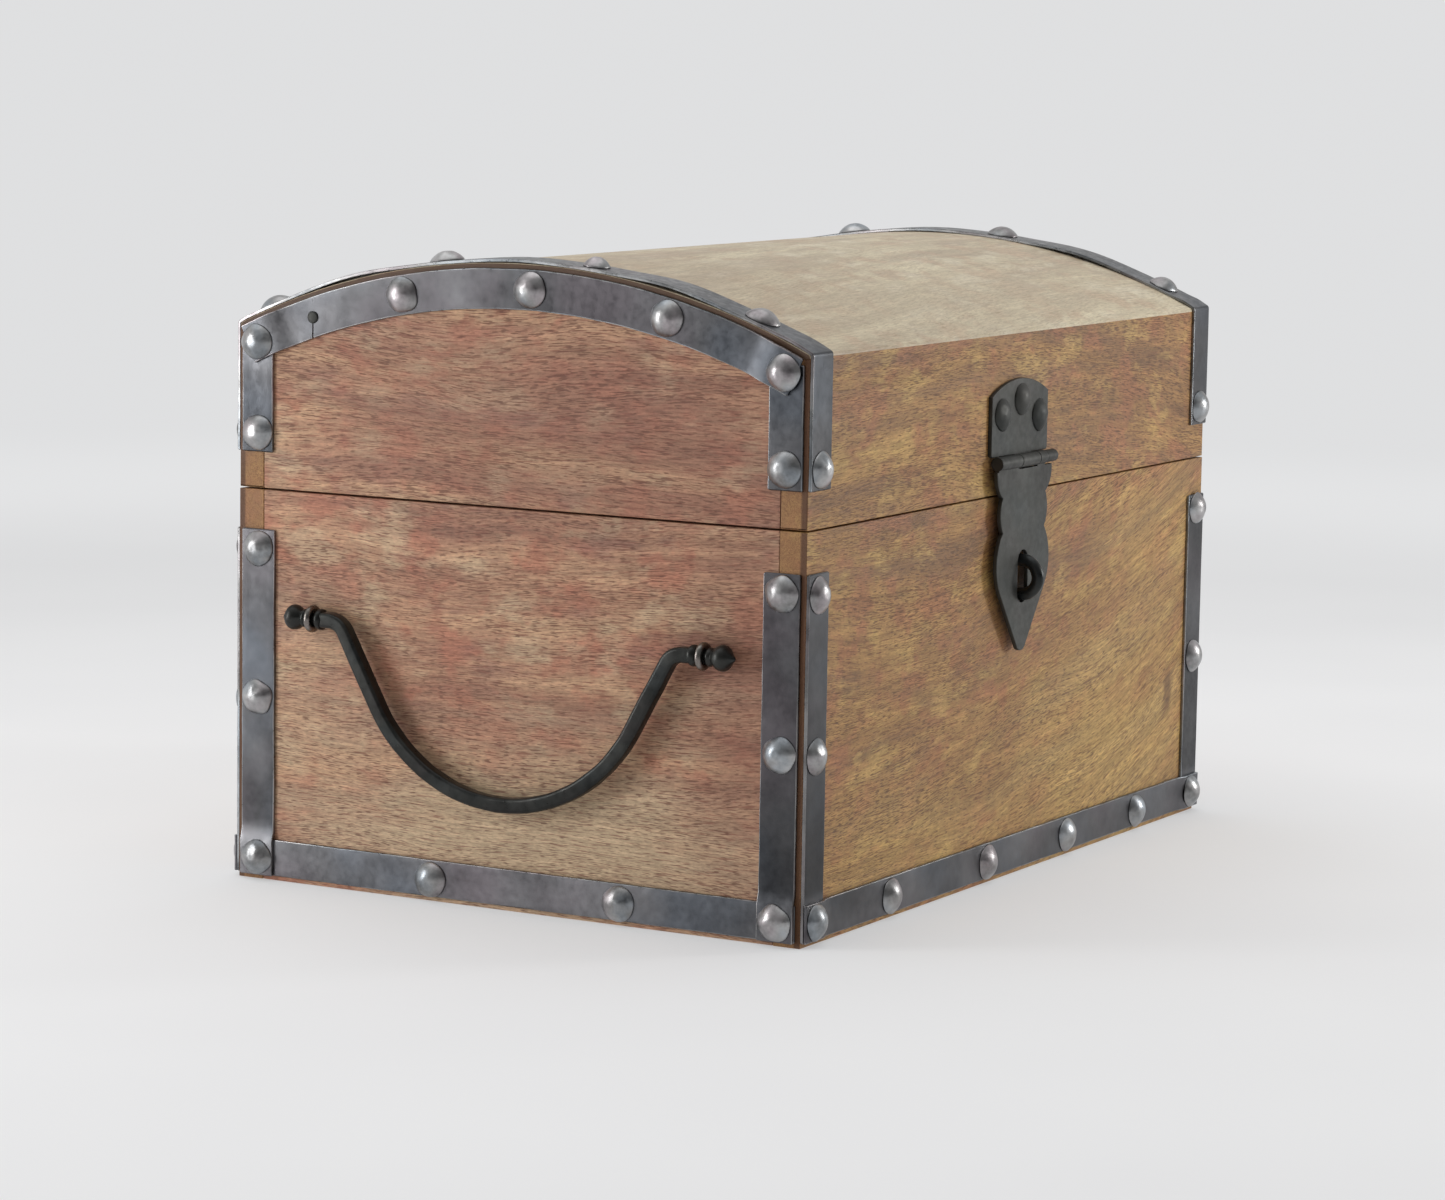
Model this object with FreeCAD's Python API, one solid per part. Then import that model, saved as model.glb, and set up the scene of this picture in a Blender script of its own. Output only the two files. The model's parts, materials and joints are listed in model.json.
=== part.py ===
import FreeCAD, Part
import math
import os

# A small dome-lidded wooden chest bound with nailed iron straps. Millimetres.
# X runs along the length, -Y is the front, +Z is up.
# The origin is at the centre of the underside of the wooden box.

# ---- Wood ----
LENGTH = 284.0
DEPTH = 200.0
SEAM_Z = 122.5             # height of the parting line between box and lid
SEAM_GAP = 0.5
CORNER_Z = 173.5           # where the roof meets the front and back faces
ARCH_RISE = 22.3
WALL = 9.0                 # front, back, end and gable boards
BOTTOM_BOARD = 8.0
ROOF_PANEL = 6.0

END_X = LENGTH / 2
FACE_Y = DEPTH / 2
INNER_X = END_X - WALL
INNER_Y = FACE_Y - WALL
BOX_TOP = SEAM_Z - SEAM_GAP / 2
LID_BOTTOM = SEAM_Z + SEAM_GAP / 2
ROOF_R = (FACE_Y ** 2 + ARCH_RISE ** 2) / (2 * ARCH_RISE)
ROOF_CENTRE_Z = CORNER_Z + ARCH_RISE - ROOF_R

# ---- Straps ----
STRAP = 1.0                # thickness of the strip iron
STRAP_W = 12.3
STRAP_FOOT = 1.5           # bare wood under the lowest strap
BOTTOM_STRAP_TOP = 13.0
BOX_STRAP_TOP = 110.0
LID_STRAP_FOOT = 134.0
JOG = 1.8                  # length over which a strap steps up onto another
END_STRAP_EDGE = 98.5      # outer edge of the upright straps on the end faces
GABLE_STRAP_TRIM = 0.8     # the gable's short uprights are this much narrower
ARCH_EDGE_DROP = 1.5       # bare wood above the gable's arched strap
SLIT_W = 0.4
SLIT_DEPTH = 20.0          # how far the slit reaches below the roof's corner

# ---- Nails: domed heads, described as they lie on the faces ----
NAIL_R = 5.6
NAIL_DOME = 3.2
NAIL_SHANK_R = 0.9
NAIL_LENGTH = 6.0
HOLE_GAP = 0.05
HOLE_EXTRA = 0.2           # holes run this much deeper than their nails
FLAT_PIN_R = 2.1
FLAT_PIN_H = 0.5
FLAT_PIN_BEVEL = 0.3

# (across the face, height, straps under the head)
END_BOX_NAILS = [(92.3, 104.0, 1), (92.5, 57.5, 1), (92.0, 7.2, 2), (28.0, 6.8, 1)]
END_BOX_NAILS += [(-92.5, 104.0, 1), (-92.6, 56.8, 1), (-92.3, 7.2, 2), (-38.8, 6.8, 1)]
END_LID_NAILS = [(92.6, 140.0, 1), (-92.6, 140.2, 1), (92.3, 168.0, 2), (-92.3, 168.2, 2)]
ARCH_NAIL_Y = [39.7, -5.6, -52.7]
FLAT_PIN_Y = 72.2
FRONT_BOX_NAILS = [(-136.0, 103.5, 1), (-136.2, 56.2, 1), (-135.8, 7.2, 2)]
FRONT_BOX_NAILS += [(136.0, 105.2, 1), (136.2, 54.2, 1), (135.8, 7.2, 2)]
FRONT_BOX_NAILS += [(-86.3, 6.8, 1), (-20.7, 6.8, 1), (37.6, 6.8, 1), (92.1, 6.8, 1)]
HOOP_LEG_NAIL_Z = 140.0
HOOP_CENTRE_X = END_X - STRAP_W / 2
LEFT_HOOP_NAIL_Y = [-80.5, -24.5, 28.0, 90.0]
RIGHT_HOOP_NAIL_Y = [-86.0, -25.0, 33.0, 88.0]
HOOP_SEAT = 6.0            # flat stretch each side of a nail in a roof hoop
HOOP_BULGES = [0.2, 0, 0.8, 0, 0.3, 0, 0.7, 0, 0.1]    # stand-off of each stretch between seats

# ---- Hinged ironwork shared by hasp and hinges ----
LEAF = 1.5
PIN_R = 1.25
PIN_GAP = 0.05
AXIS_OUT = 2.9             # hinge axes stand this far out of the wood

# ---- Hasp: x is given from its own centre line ----
HASP_X = -5.5
HASP_AXIS_Y = -(FACE_Y + AXIS_OUT)
HASP_AXIS_Z = 132.9
HASP_KNUCKLE_R = 2.2
HASP_UPPER_EDGE = 1.9      # from the axis up to the edge of the upper leaf
HASP_LOWER_EDGE = 2.45     # from the axis down to the edge of the lower leaf
HASP_W = 40.0
HASP_TOP = 158.6
HASP_SHOULDER = 153.8
HASP_NAILS = [(-13.0, 147.9), (0.8, 152.0), (13.6, 146.2)]
HASP_NAIL_R = 5.2
HASP_NAIL_DOME = 2.4
UPPER_KNUCKLES = [(-4.0, 8.6)]
LOWER_KNUCKLES = [(-18.8, -4.2), (8.8, 14.2)]
HASP_PIN_SHAFT = (-18.2, 14.4)
HASP_PIN_HEAD = (14.4, 21.9)
HASP_PIN_HEAD_R = 2.0
HASP_HALF_TOP = 19.5
HASP_SCALLOPS = [((18.7, 125.4), (15.4, 122.0)), ((16.9, 117.0), (14.9, 111.0))]
HASP_SCALLOPS += [((18.9, 101.2), (16.0, 92.0))]
HASP_TIP = 72.6
HASP_TIP_SIDE = (2.6, 73.5)
SLOT_W = 7.0
SLOT_LOW = 87.9
SLOT_HIGH = 104.6
WIRE_R = 2.0
STAPLE_Z = 96.0
STAPLE_BEND_R = 5.4
STAPLE_REACH = 111.0       # outermost point of the staple, from the chest's centre plane
STAPLE_DEPTH = 7.0

# ---- Bail handles ----
PIVOT_X = END_X + 5.0
PIVOT_Z = 84.3
BAIL_R = 51.7
BAIL_BOTTOM_Z = 33.4
BAIL_ARC = math.radians(61.0)      # half the angle of the round bottom
BAIL_SIDE = 4.8
BAIL_CORNER_R = 1.3
ELBOW_R = 6.0
COLLAR_Y = 65.0
NECK_Y = 67.5
NECK_END_Y = 70.5
NECK_R = 2.0
BEAD_R = 2.9
BEAD_END_Y = 72.4
FINIAL_R = 4.0
FINIAL_Y = 75.7
FINIAL_TIP_Y = 79.8
COLLAR_R = 3.3
COLLAR_FACE_R = 2.6
COLLAR_RIM = 0.6           # along the bar, from the collar's face to its full radius
COLLAR_BAND = 1.9          # and to where it narrows again
LIP_R = 2.5                # collar and bead next to the neck, and the finial next to its bead
TIP_R = 1.8                # where the finial's ball turns into its point
EYE_Y = (NECK_Y + NECK_END_Y) / 2
EYE_WIRE_R = 1.1
EYE_SHANK_R = 1.2
EYE_PLAY = 0.08            # between the neck and its eye
CLENCH = 8.0

# ---- Rear hinges ----
HINGE_X = 80.0
HINGE_W = 28.0
HINGE_AXIS_Y = FACE_Y + AXIS_OUT
HINGE_LEAF_H = 24.0
HINGE_KNUCKLE_R = 2.5
HINGE_EDGE = 2.9           # from the axis to the edge of each leaf
HINGE_MIDDLE = 5.0         # half the length of the lid leaf's knuckle
HINGE_PLAY = 0.15
HINGE_PIN_HEAD = 0.8
HINGE_PIN_HEAD_R = 1.95
HINGE_SCREW_DX = 8.0
HINGE_SCREW_DZ = 15.0
SCREW_HEAD_R = 3.0
SCREW_SHANK_R = 1.4
SCREW_LENGTH = 8.0
SCREW_CONE = 1.6
SCREW_SLOT = 0.7

V = FreeCAD.Vector
LEFT = V(-1, 0, 0)
RIGHT = V(1, 0, 0)
FRONT = V(0, -1, 0)
BACK = V(0, 1, 0)
UP = V(0, 0, 1)

nodes = {}
holes = []


# ---- Building blocks ----

def block(x0, x1, y0, y1, z0, z1):
    return Part.makeBox(x1 - x0, y1 - y0, z1 - z0, V(x0, y0, z0))


def rod_x(x0, x1, y, z, radius):
    return Part.makeCylinder(radius, x1 - x0, V(x0, y, z), RIGHT)


def wire_of(path, place):
    """A step is a point, for a straight edge, or a (through, end) pair, for an arc."""
    edges = []
    here = place(*path[0])
    for step in path[1:]:
        if isinstance(step[0], tuple):
            there = place(*step[1])
            edges.append(Part.Arc(here, place(*step[0]), there).toShape())
        else:
            there = place(*step)
            edges.append(Part.LineSegment(here, there).toShape())
        here = there
    return Part.Wire(edges)


def other_half(start, steps):
    """The mirror image of the steps from start, walked backwards."""
    ends = [start] + [step[1] if isinstance(step[0], tuple) else step for step in steps]
    back = []
    for step, (x, z) in zip(reversed(steps), reversed(ends[:-1])):
        if isinstance(step[0], tuple):
            back.append(((-step[0][0], step[0][1]), (-x, z)))
        else:
            back.append((-x, z))
    return back


def prism(path, place, along):
    """The closed outline path, put in space by place and extruded along a vector."""
    return Part.Face(wire_of(path + [path[0]], place)).extrude(along)


def turned(profile):
    """A (radius, height) profile turned about Z."""
    face = Part.Face(wire_of(profile + [profile[0]], lambda r, h: V(r, 0, h)))
    return face.revolve(V(0, 0, 0), UP, 360)


def aimed(shape, point, outward):
    """A shape made along +Z, moved to a point on a face and turned to face outward."""
    moved = shape.copy()
    moved.Placement = FreeCAD.Placement(point, FreeCAD.Rotation(UP, outward))
    return moved


def mirrored_x(shape):
    return shape.mirror(V(0, 0, 0), RIGHT)


def mirrored_y(shape):
    return shape.mirror(V(0, 0, 0), BACK)


def roof_z(y, offset=0.0):
    """Height of the arc that stands off the roof's outer surface."""
    return ROOF_CENTRE_Z + math.sqrt((ROOF_R + offset) ** 2 - y ** 2)


def roof_point(angle, offset=0.0):
    """(y, z) on that arc, at an angle from the top towards the back."""
    radius = ROOF_R + offset
    return (radius * math.sin(angle), ROOF_CENTRE_Z + radius * math.cos(angle))


def strip(inner):
    """Closed side view of a strap whose inner face follows (along, out) points."""
    outer = [(along, out + STRAP) for along, out in reversed(inner)]
    return inner + outer


# ---- Nails and screws ----

def nail(radius, dome):
    dome_r = (radius ** 2 + dome ** 2) / (2 * dome)
    half = math.asin(radius / dome_r) / 2
    crown = (dome_r * math.sin(half), dome - dome_r * (1 - math.cos(half)))
    shank = [(0, -NAIL_LENGTH), (NAIL_SHANK_R, -NAIL_LENGTH), (NAIL_SHANK_R, 0), (radius, 0)]
    return turned(shank + [(crown, (0, dome))])


def drill(shank_r, length, point, outward):
    """Note a hole that starts a little outside the point and runs inward."""
    start = 3
    tool = Part.makeCylinder(shank_r + HOLE_GAP, start + length, V(0, 0, -length), UP)
    holes.append(aimed(tool, point, outward))


def nails(name, places, radius=NAIL_R, dome=NAIL_DOME):
    """places holds (point on the strap's face, outward) pairs."""
    shape = nail(radius, dome)
    solids = []
    for point, outward in places:
        solids.append(aimed(shape, point, outward))
        drill(NAIL_SHANK_R, NAIL_LENGTH + HOLE_EXTRA, point, outward)
    nodes[name] = Part.makeCompound(solids)


def screw_outline(gap):
    shank_r = SCREW_SHANK_R + gap
    head_r = SCREW_HEAD_R + gap
    low = -SCREW_LENGTH - gap
    cone = -SCREW_CONE - gap
    return [(0, low), (shank_r, low), (shank_r, cone), (head_r, 0), (0, 0)]


def screws(name, points):
    """Slotted countersunk screws on the back face."""
    slot = block(-SCREW_HEAD_R, SCREW_HEAD_R, -SCREW_SLOT / 2, SCREW_SLOT / 2, -SCREW_SLOT, 1)
    screw = turned(screw_outline(0)).cut(slot)
    seat = turned(screw_outline(HOLE_GAP))
    nodes[name] = Part.makeCompound([aimed(screw, point, BACK) for point in points])
    holes.extend(aimed(seat, point, BACK) for point in points)


# ---- Wood ----

def build_box_boards():
    front = block(-END_X, END_X, -FACE_Y, -INNER_Y, 0, BOX_TOP)
    left = block(-END_X, -INNER_X, -INNER_Y, INNER_Y, 0, BOX_TOP)
    nodes["front_board"] = front
    nodes["back_board"] = mirrored_y(front)
    nodes["left_end_board"] = left
    nodes["right_end_board"] = mirrored_x(left)
    nodes["bottom_board"] = block(-INNER_X, INNER_X, -INNER_Y, INNER_Y, 0, BOTTOM_BOARD)


def build_lid_boards():
    place = lambda y, z: V(-END_X, y, z)
    under_z = roof_z(INNER_Y, -ROOF_PANEL)
    crown_z = roof_z(0, -ROOF_PANEL)

    rail = [(-FACE_Y, LID_BOTTOM), (-INNER_Y, LID_BOTTOM), (-INNER_Y, under_z), (-FACE_Y, CORNER_Z)]
    front = prism(rail, place, V(LENGTH, 0, 0))
    nodes["lid_front_rail"] = front
    nodes["lid_back_rail"] = mirrored_y(front)

    gable = [(-INNER_Y, LID_BOTTOM), (INNER_Y, LID_BOTTOM), (INNER_Y, under_z)]
    gable += [((0, crown_z), (-INNER_Y, under_z))]
    left = prism(gable, place, V(WALL, 0, 0))
    nodes["lid_left_gable"] = left
    nodes["lid_right_gable"] = mirrored_x(left)

    panel = [(-FACE_Y, CORNER_Z), ((0, CORNER_Z + ARCH_RISE), (FACE_Y, CORNER_Z))]
    panel += [(INNER_Y, under_z), ((0, crown_z), (-INNER_Y, under_z))]
    nodes["roof_panel"] = prism(panel, place, V(LENGTH, 0, 0))


# ---- Straps ----

def build_end_straps():
    """Foot strap and the two upright straps that lap over it, on both ends."""
    inner_edge = END_STRAP_EDGE - STRAP_W
    foot = block(-END_X - STRAP, -END_X, -END_STRAP_EDGE, END_STRAP_EDGE, STRAP_FOOT, BOTTOM_STRAP_TOP)
    side = [(STRAP_FOOT, STRAP), (BOTTOM_STRAP_TOP, STRAP)]
    side += [(BOTTOM_STRAP_TOP + JOG, 0), (BOX_STRAP_TOP, 0)]
    place = lambda z, out: V(-END_X - out, -END_STRAP_EDGE, z)
    upright = prism(strip(side), place, V(0, END_STRAP_EDGE - inner_edge, 0))
    nodes["left_foot_strap"] = foot
    nodes["right_foot_strap"] = mirrored_x(foot)
    nodes["left_front_upright_strap"] = upright
    nodes["left_back_upright_strap"] = mirrored_y(upright)
    nodes["right_front_upright_strap"] = mirrored_x(upright)
    nodes["right_back_upright_strap"] = mirrored_x(mirrored_y(upright))


def build_face_straps():
    """Upright straps at the ends of the front and back, lapped by the foot strap."""
    inner_x = END_X - STRAP_W
    upright = block(-END_X, -inner_x, -FACE_Y - STRAP, -FACE_Y, STRAP_FOOT, BOX_STRAP_TOP)
    side = [(-END_X, STRAP), (-inner_x, STRAP), (-inner_x + JOG, 0)]
    side += [(inner_x - JOG, 0), (inner_x, STRAP), (END_X, STRAP)]
    place = lambda x, out: V(x, -FACE_Y - out, STRAP_FOOT)
    foot = prism(strip(side), place, V(0, 0, BOTTOM_STRAP_TOP - STRAP_FOOT))
    nodes["front_foot_strap"] = foot
    nodes["back_foot_strap"] = mirrored_y(foot)
    nodes["front_left_upright_strap"] = upright
    nodes["front_right_upright_strap"] = mirrored_x(upright)
    nodes["back_left_upright_strap"] = mirrored_y(upright)
    nodes["back_right_upright_strap"] = mirrored_x(mirrored_y(upright))


def build_gable_straps():
    """Arched strap on each gable, over the short upright straps below its ends."""
    place = lambda y, z: V(-END_X - 2 * STRAP, y, z)
    edge_r = ROOF_R - ARCH_EDGE_DROP
    disc = Part.makeCylinder(edge_r, STRAP, V(-END_X - STRAP, 0, ROOF_CENTRE_Z), RIGHT)
    inner_edge = END_STRAP_EDGE - STRAP_W + GABLE_STRAP_TRIM
    bar = block(-END_X - STRAP, -END_X, -END_STRAP_EDGE, -inner_edge, LID_STRAP_FOOT, CORNER_Z)
    upright = bar.common(disc)

    end = math.asin(END_STRAP_EDGE / edge_r)
    inner_drop = -ARCH_EDGE_DROP - STRAP_W
    arch = [roof_point(-end, -ARCH_EDGE_DROP)]
    arch += [(roof_point(0, -ARCH_EDGE_DROP), roof_point(end, -ARCH_EDGE_DROP))]
    arch += [roof_point(end, inner_drop), (roof_point(0, inner_drop), roof_point(-end, inner_drop))]
    outline = prism(arch, place, V(2 * STRAP, 0, 0))
    side = [(-FACE_Y, STRAP), (-inner_edge, STRAP), (-inner_edge + JOG, 0)]
    side += [(inner_edge - JOG, 0), (inner_edge, STRAP), (FACE_Y, STRAP)]
    lap = prism(strip(side), lambda y, out: V(-END_X - out, y, LID_STRAP_FOOT), V(0, 0, DEPTH))
    strap = outline.common(lap)
    slit_y = (FLAT_PIN_Y - SLIT_W / 2, FLAT_PIN_Y + SLIT_W / 2)
    slit = block(-END_X - 2 * STRAP, -END_X, *slit_y, CORNER_Z - SLIT_DEPTH, pin_z())

    nodes["left_front_gable_strap"] = upright
    nodes["left_back_gable_strap"] = mirrored_y(upright)
    nodes["right_front_gable_strap"] = mirrored_x(upright)
    nodes["right_back_gable_strap"] = mirrored_x(mirrored_y(upright))
    nodes["left_arch_strap"] = strap.cut(slit)
    nodes["right_arch_strap"] = mirrored_x(strap)


def hoop_curve(nail_ys, bulges, offset):
    """Arcs over the roof that lie flat under the nails and stand off between them."""
    seats = [y + side for y in nail_ys for side in (-HOOP_SEAT, HOOP_SEAT)]
    stops = [-FACE_Y] + seats + [FACE_Y]
    angles = [math.asin(y / ROOF_R) for y in stops]
    steps = []
    for first, second, bulge in zip(angles, angles[1:], bulges):
        through = roof_point((first + second) / 2, offset + bulge)
        steps.append((through, roof_point(second, offset)))
    return steps


def roof_hoop(nail_ys):
    """One long strap up the front, over the roof and down the back."""
    outer_y = FACE_Y + STRAP
    shoulder = (outer_y, roof_z(outer_y, STRAP))
    over = hoop_curve(nail_ys, HOOP_BULGES, 0)
    back_over = hoop_curve([-y for y in reversed(nail_ys)], HOOP_BULGES[::-1], STRAP)
    outer = [((-through[0], through[1]), (-end[0], end[1])) for through, end in back_over]
    outer[-1] = (outer[-1][0], (-shoulder[0], shoulder[1]))
    path = [(-FACE_Y, LID_STRAP_FOOT), (-FACE_Y, CORNER_Z)] + over
    path += [(FACE_Y, LID_STRAP_FOOT), (outer_y, LID_STRAP_FOOT), shoulder] + outer
    path += [(-outer_y, LID_STRAP_FOOT)]
    return prism(path, lambda y, z: V(-END_X, y, z), V(STRAP_W, 0, 0))


def build_hoops():
    nodes["left_roof_hoop"] = roof_hoop(LEFT_HOOP_NAIL_Y)
    nodes["right_roof_hoop"] = mirrored_x(roof_hoop(RIGHT_HOOP_NAIL_Y))


# ---- Nails on the straps ----

def end_nails(prefix, side):
    def on_face(nail_row):
        return [(V(side * (END_X + layers * STRAP), y, z), V(side, 0, 0)) for y, z, layers in nail_row]

    drop = -ARCH_EDGE_DROP - STRAP_W / 2
    arch_row = [(y, roof_z(y, drop), 1) for y in ARCH_NAIL_Y]
    nails("box_" + prefix + "_nails", on_face(END_BOX_NAILS))
    nails("lid_" + prefix + "_nails", on_face(END_LID_NAILS + arch_row))


def face_nails(name, side):
    places = []
    for x, z, layers in FRONT_BOX_NAILS:
        places.append((V(x, side * (FACE_Y + layers * STRAP), z), V(0, side, 0)))
    nails(name, places)


def hoop_nails(name, side, nail_ys):
    x = side * HOOP_CENTRE_X
    places = []
    for y in nail_ys:
        angle = math.asin(y / ROOF_R)
        up_y, up_z = roof_point(angle, STRAP)
        places.append((V(x, up_y, up_z), V(0, math.sin(angle), math.cos(angle))))
    for face in (-1, 1):
        places.append((V(x, face * (FACE_Y + STRAP), HOOP_LEG_NAIL_Z), V(0, face, 0)))
    nails(name, places)


def pin_z():
    return roof_z(FLAT_PIN_Y, -ARCH_EDGE_DROP - STRAP_W / 2)


def build_strap_nails():
    end_nails("left", -1)
    end_nails("right", 1)
    face_nails("box_front_nails", -1)
    face_nails("box_back_nails", 1)
    hoop_nails("left_hoop_nails", -1, LEFT_HOOP_NAIL_Y)
    hoop_nails("right_hoop_nails", 1, RIGHT_HOOP_NAIL_Y)

    point = V(-END_X - STRAP, FLAT_PIN_Y, pin_z())
    profile = [(0, -NAIL_LENGTH), (NAIL_SHANK_R, -NAIL_LENGTH), (NAIL_SHANK_R, 0)]
    profile += [(FLAT_PIN_R, 0), (FLAT_PIN_R - FLAT_PIN_BEVEL, FLAT_PIN_H), (0, FLAT_PIN_H)]
    nodes["flat_pin"] = aimed(turned(profile), point, LEFT)
    drill(NAIL_SHANK_R, NAIL_LENGTH + HOLE_EXTRA, point, LEFT)


# ---- Hinged ironwork ----

def with_knuckles(plate, spans, axis_y, axis_z, radius, plate_y, edge_z):
    """Roll knuckles onto a plate over the X spans, and bore them for the pin."""
    rolled = plate
    for x0, x1 in spans:
        barrel = rod_x(x0, x1, axis_y, axis_z, radius)
        tongue = block(x0, x1, plate_y[0], plate_y[1], min(edge_z, axis_z), max(edge_z, axis_z))
        rolled = rolled.fuse([barrel, tongue])
    bore = rod_x(-END_X, END_X, axis_y, axis_z, PIN_R + PIN_GAP)
    return rolled.cut(bore).removeSplitter()


def hasp_leaf(plate, spans, plate_y, edge_z):
    placed = [(HASP_X + start, HASP_X + end) for start, end in spans]
    return with_knuckles(plate, placed, HASP_AXIS_Y, HASP_AXIS_Z, HASP_KNUCKLE_R, plate_y, edge_z)


def build_hasp_upper_leaf():
    half = HASP_W / 2
    edge_z = HASP_AXIS_Z + HASP_UPPER_EDGE
    outline = [(-half, edge_z), (half, edge_z), (half, HASP_SHOULDER)]
    outline += [((0, HASP_TOP), (-half, HASP_SHOULDER))]
    plate = prism(outline, lambda x, z: V(HASP_X + x, -FACE_Y, z), V(0, -LEAF, 0))
    nodes["hasp_upper_leaf"] = hasp_leaf(plate, UPPER_KNUCKLES, (-FACE_Y - LEAF, -FACE_Y), edge_z)
    places = [(V(HASP_X + x, -FACE_Y - LEAF, z), FRONT) for x, z in HASP_NAILS]
    nails("hasp_nails", places, HASP_NAIL_R, HASP_NAIL_DOME)


def build_hasp_pin():
    def rod(ends, radius):
        return rod_x(HASP_X + ends[0], HASP_X + ends[1], HASP_AXIS_Y, HASP_AXIS_Z, radius)

    nodes["hasp_pin"] = rod(HASP_PIN_SHAFT, PIN_R).fuse(rod(HASP_PIN_HEAD, HASP_PIN_HEAD_R))


def build_hasp_lower_leaf():
    """Scalloped swinging leaf with a slot that drops over the staple."""
    edge_z = HASP_AXIS_Z - HASP_LOWER_EDGE
    top_corner = (HASP_HALF_TOP, edge_z)
    right = HASP_SCALLOPS + [HASP_TIP_SIDE]
    tip_x, tip_z = HASP_TIP_SIDE
    outline = [top_corner] + right + [((0, HASP_TIP), (-tip_x, tip_z))] + other_half(top_corner, right)
    plane_y = HASP_AXIS_Y - LEAF / 2
    place = lambda x, z: V(HASP_X + x, plane_y, z)
    plate = prism(outline, place, V(0, LEAF, 0))

    half = SLOT_W / 2
    low = SLOT_LOW + half
    high = SLOT_HIGH - half
    slot = [(-half, low), ((0, SLOT_LOW), (half, low)), (half, high), ((0, SLOT_HIGH), (-half, high))]
    plate = plate.cut(prism(slot, place, V(0, LEAF, 0)))

    nodes["hasp_lower_leaf"] = hasp_leaf(plate, LOWER_KNUCKLES, (plane_y, plane_y + LEAF), edge_z)


def build_staple():
    """Wire loop that stands out through the hasp's slot, its legs driven into the front."""
    bend_y = -(STAPLE_REACH - WIRE_R - STAPLE_BEND_R)
    root_y = -FACE_Y + STAPLE_DEPTH
    low = STAPLE_Z - STAPLE_BEND_R
    high = STAPLE_Z + STAPLE_BEND_R
    bend = ((bend_y - STAPLE_BEND_R, STAPLE_Z), (bend_y, high))
    path = [(root_y, low), (bend_y, low), bend, (root_y, high)]
    spine = wire_of(path, lambda y, z: V(HASP_X, y, z))
    section = Part.Wire(Part.makeCircle(WIRE_R, V(HASP_X, root_y, low), FRONT))
    nodes["staple"] = spine.makePipeShell([section], True, False)
    for z in (low, high):
        drill(WIRE_R, STAPLE_DEPTH, V(HASP_X, -FACE_Y, z), FRONT)


def hinge_leaf(centre_x, spans, up):
    """Leaf on the back face; up is 1 for the lid's leaf and -1 for the box's."""
    edge_z = SEAM_Z + up * HINGE_EDGE
    far_z = SEAM_Z + up * HINGE_LEAF_H
    half = HINGE_W / 2
    low, high = sorted((edge_z, far_z))
    plate = block(centre_x - half, centre_x + half, FACE_Y, FACE_Y + LEAF, low, high)
    plate_y = (FACE_Y, FACE_Y + LEAF)
    return with_knuckles(plate, spans, HINGE_AXIS_Y, SEAM_Z, HINGE_KNUCKLE_R, plate_y, edge_z)


def build_hinges():
    half = HINGE_W / 2
    middle = HINGE_MIDDLE
    box_start = middle + HINGE_PLAY
    lid_screws = []
    box_screws = []
    for name, x in (("left", -HINGE_X), ("right", HINGE_X)):
        box_spans = [(x - half, x - box_start), (x + box_start, x + half)]
        nodes[name + "_hinge_box_leaf"] = hinge_leaf(x, box_spans, -1)
        nodes[name + "_hinge_lid_leaf"] = hinge_leaf(x, [(x - middle, x + middle)], 1)
        pin = rod_x(x - half, x + half, HINGE_AXIS_Y, SEAM_Z, PIN_R)
        for end_x in (x - half - HINGE_PIN_HEAD, x + half):
            head = rod_x(end_x, end_x + HINGE_PIN_HEAD, HINGE_AXIS_Y, SEAM_Z, HINGE_PIN_HEAD_R)
            pin = pin.fuse(head)
        nodes[name + "_hinge_pin"] = pin
        for dx in (-HINGE_SCREW_DX, HINGE_SCREW_DX):
            lid_screws.append(V(x + dx, FACE_Y + LEAF, SEAM_Z + HINGE_SCREW_DZ))
            box_screws.append(V(x + dx, FACE_Y + LEAF, SEAM_Z - HINGE_SCREW_DZ))
    screws("hinge_lid_screws", lid_screws)
    screws("hinge_box_screws", box_screws)


# ---- Bail handles ----

def bar_section(y, z, heading):
    """Rounded-square face across a bar that heads off at an angle from +Y towards +Z."""
    edge = BAIL_SIDE / 2
    flat = edge - BAIL_CORNER_R
    nook = flat + BAIL_CORNER_R * math.sqrt(0.5)
    path = [(-flat, -edge), (flat, -edge), ((nook, -nook), (edge, -flat)), (edge, flat)]
    path += [((nook, nook), (flat, edge)), (-flat, edge), ((-nook, nook), (-edge, flat))]
    path += [(-edge, -flat), ((-nook, -nook), (-flat, -edge))]
    face = Part.Face(wire_of(path, lambda x, z: V(x, 0, z)))
    face.rotate(V(0, 0, 0), RIGHT, math.degrees(heading))
    face.translate(V(-PIVOT_X, y, z))
    return face


def bent(y, z, heading, centre_y, centre_z, turn):
    """A stretch of bar swept round a centre in the bail's own plane."""
    return bar_section(y, z, heading).revolve(V(-PIVOT_X, centre_y, centre_z), RIGHT, math.degrees(turn))


def straight(y, z, heading, length):
    along = V(0, math.cos(heading), math.sin(heading))
    return bar_section(y, z, heading).extrude(along * length)


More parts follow.
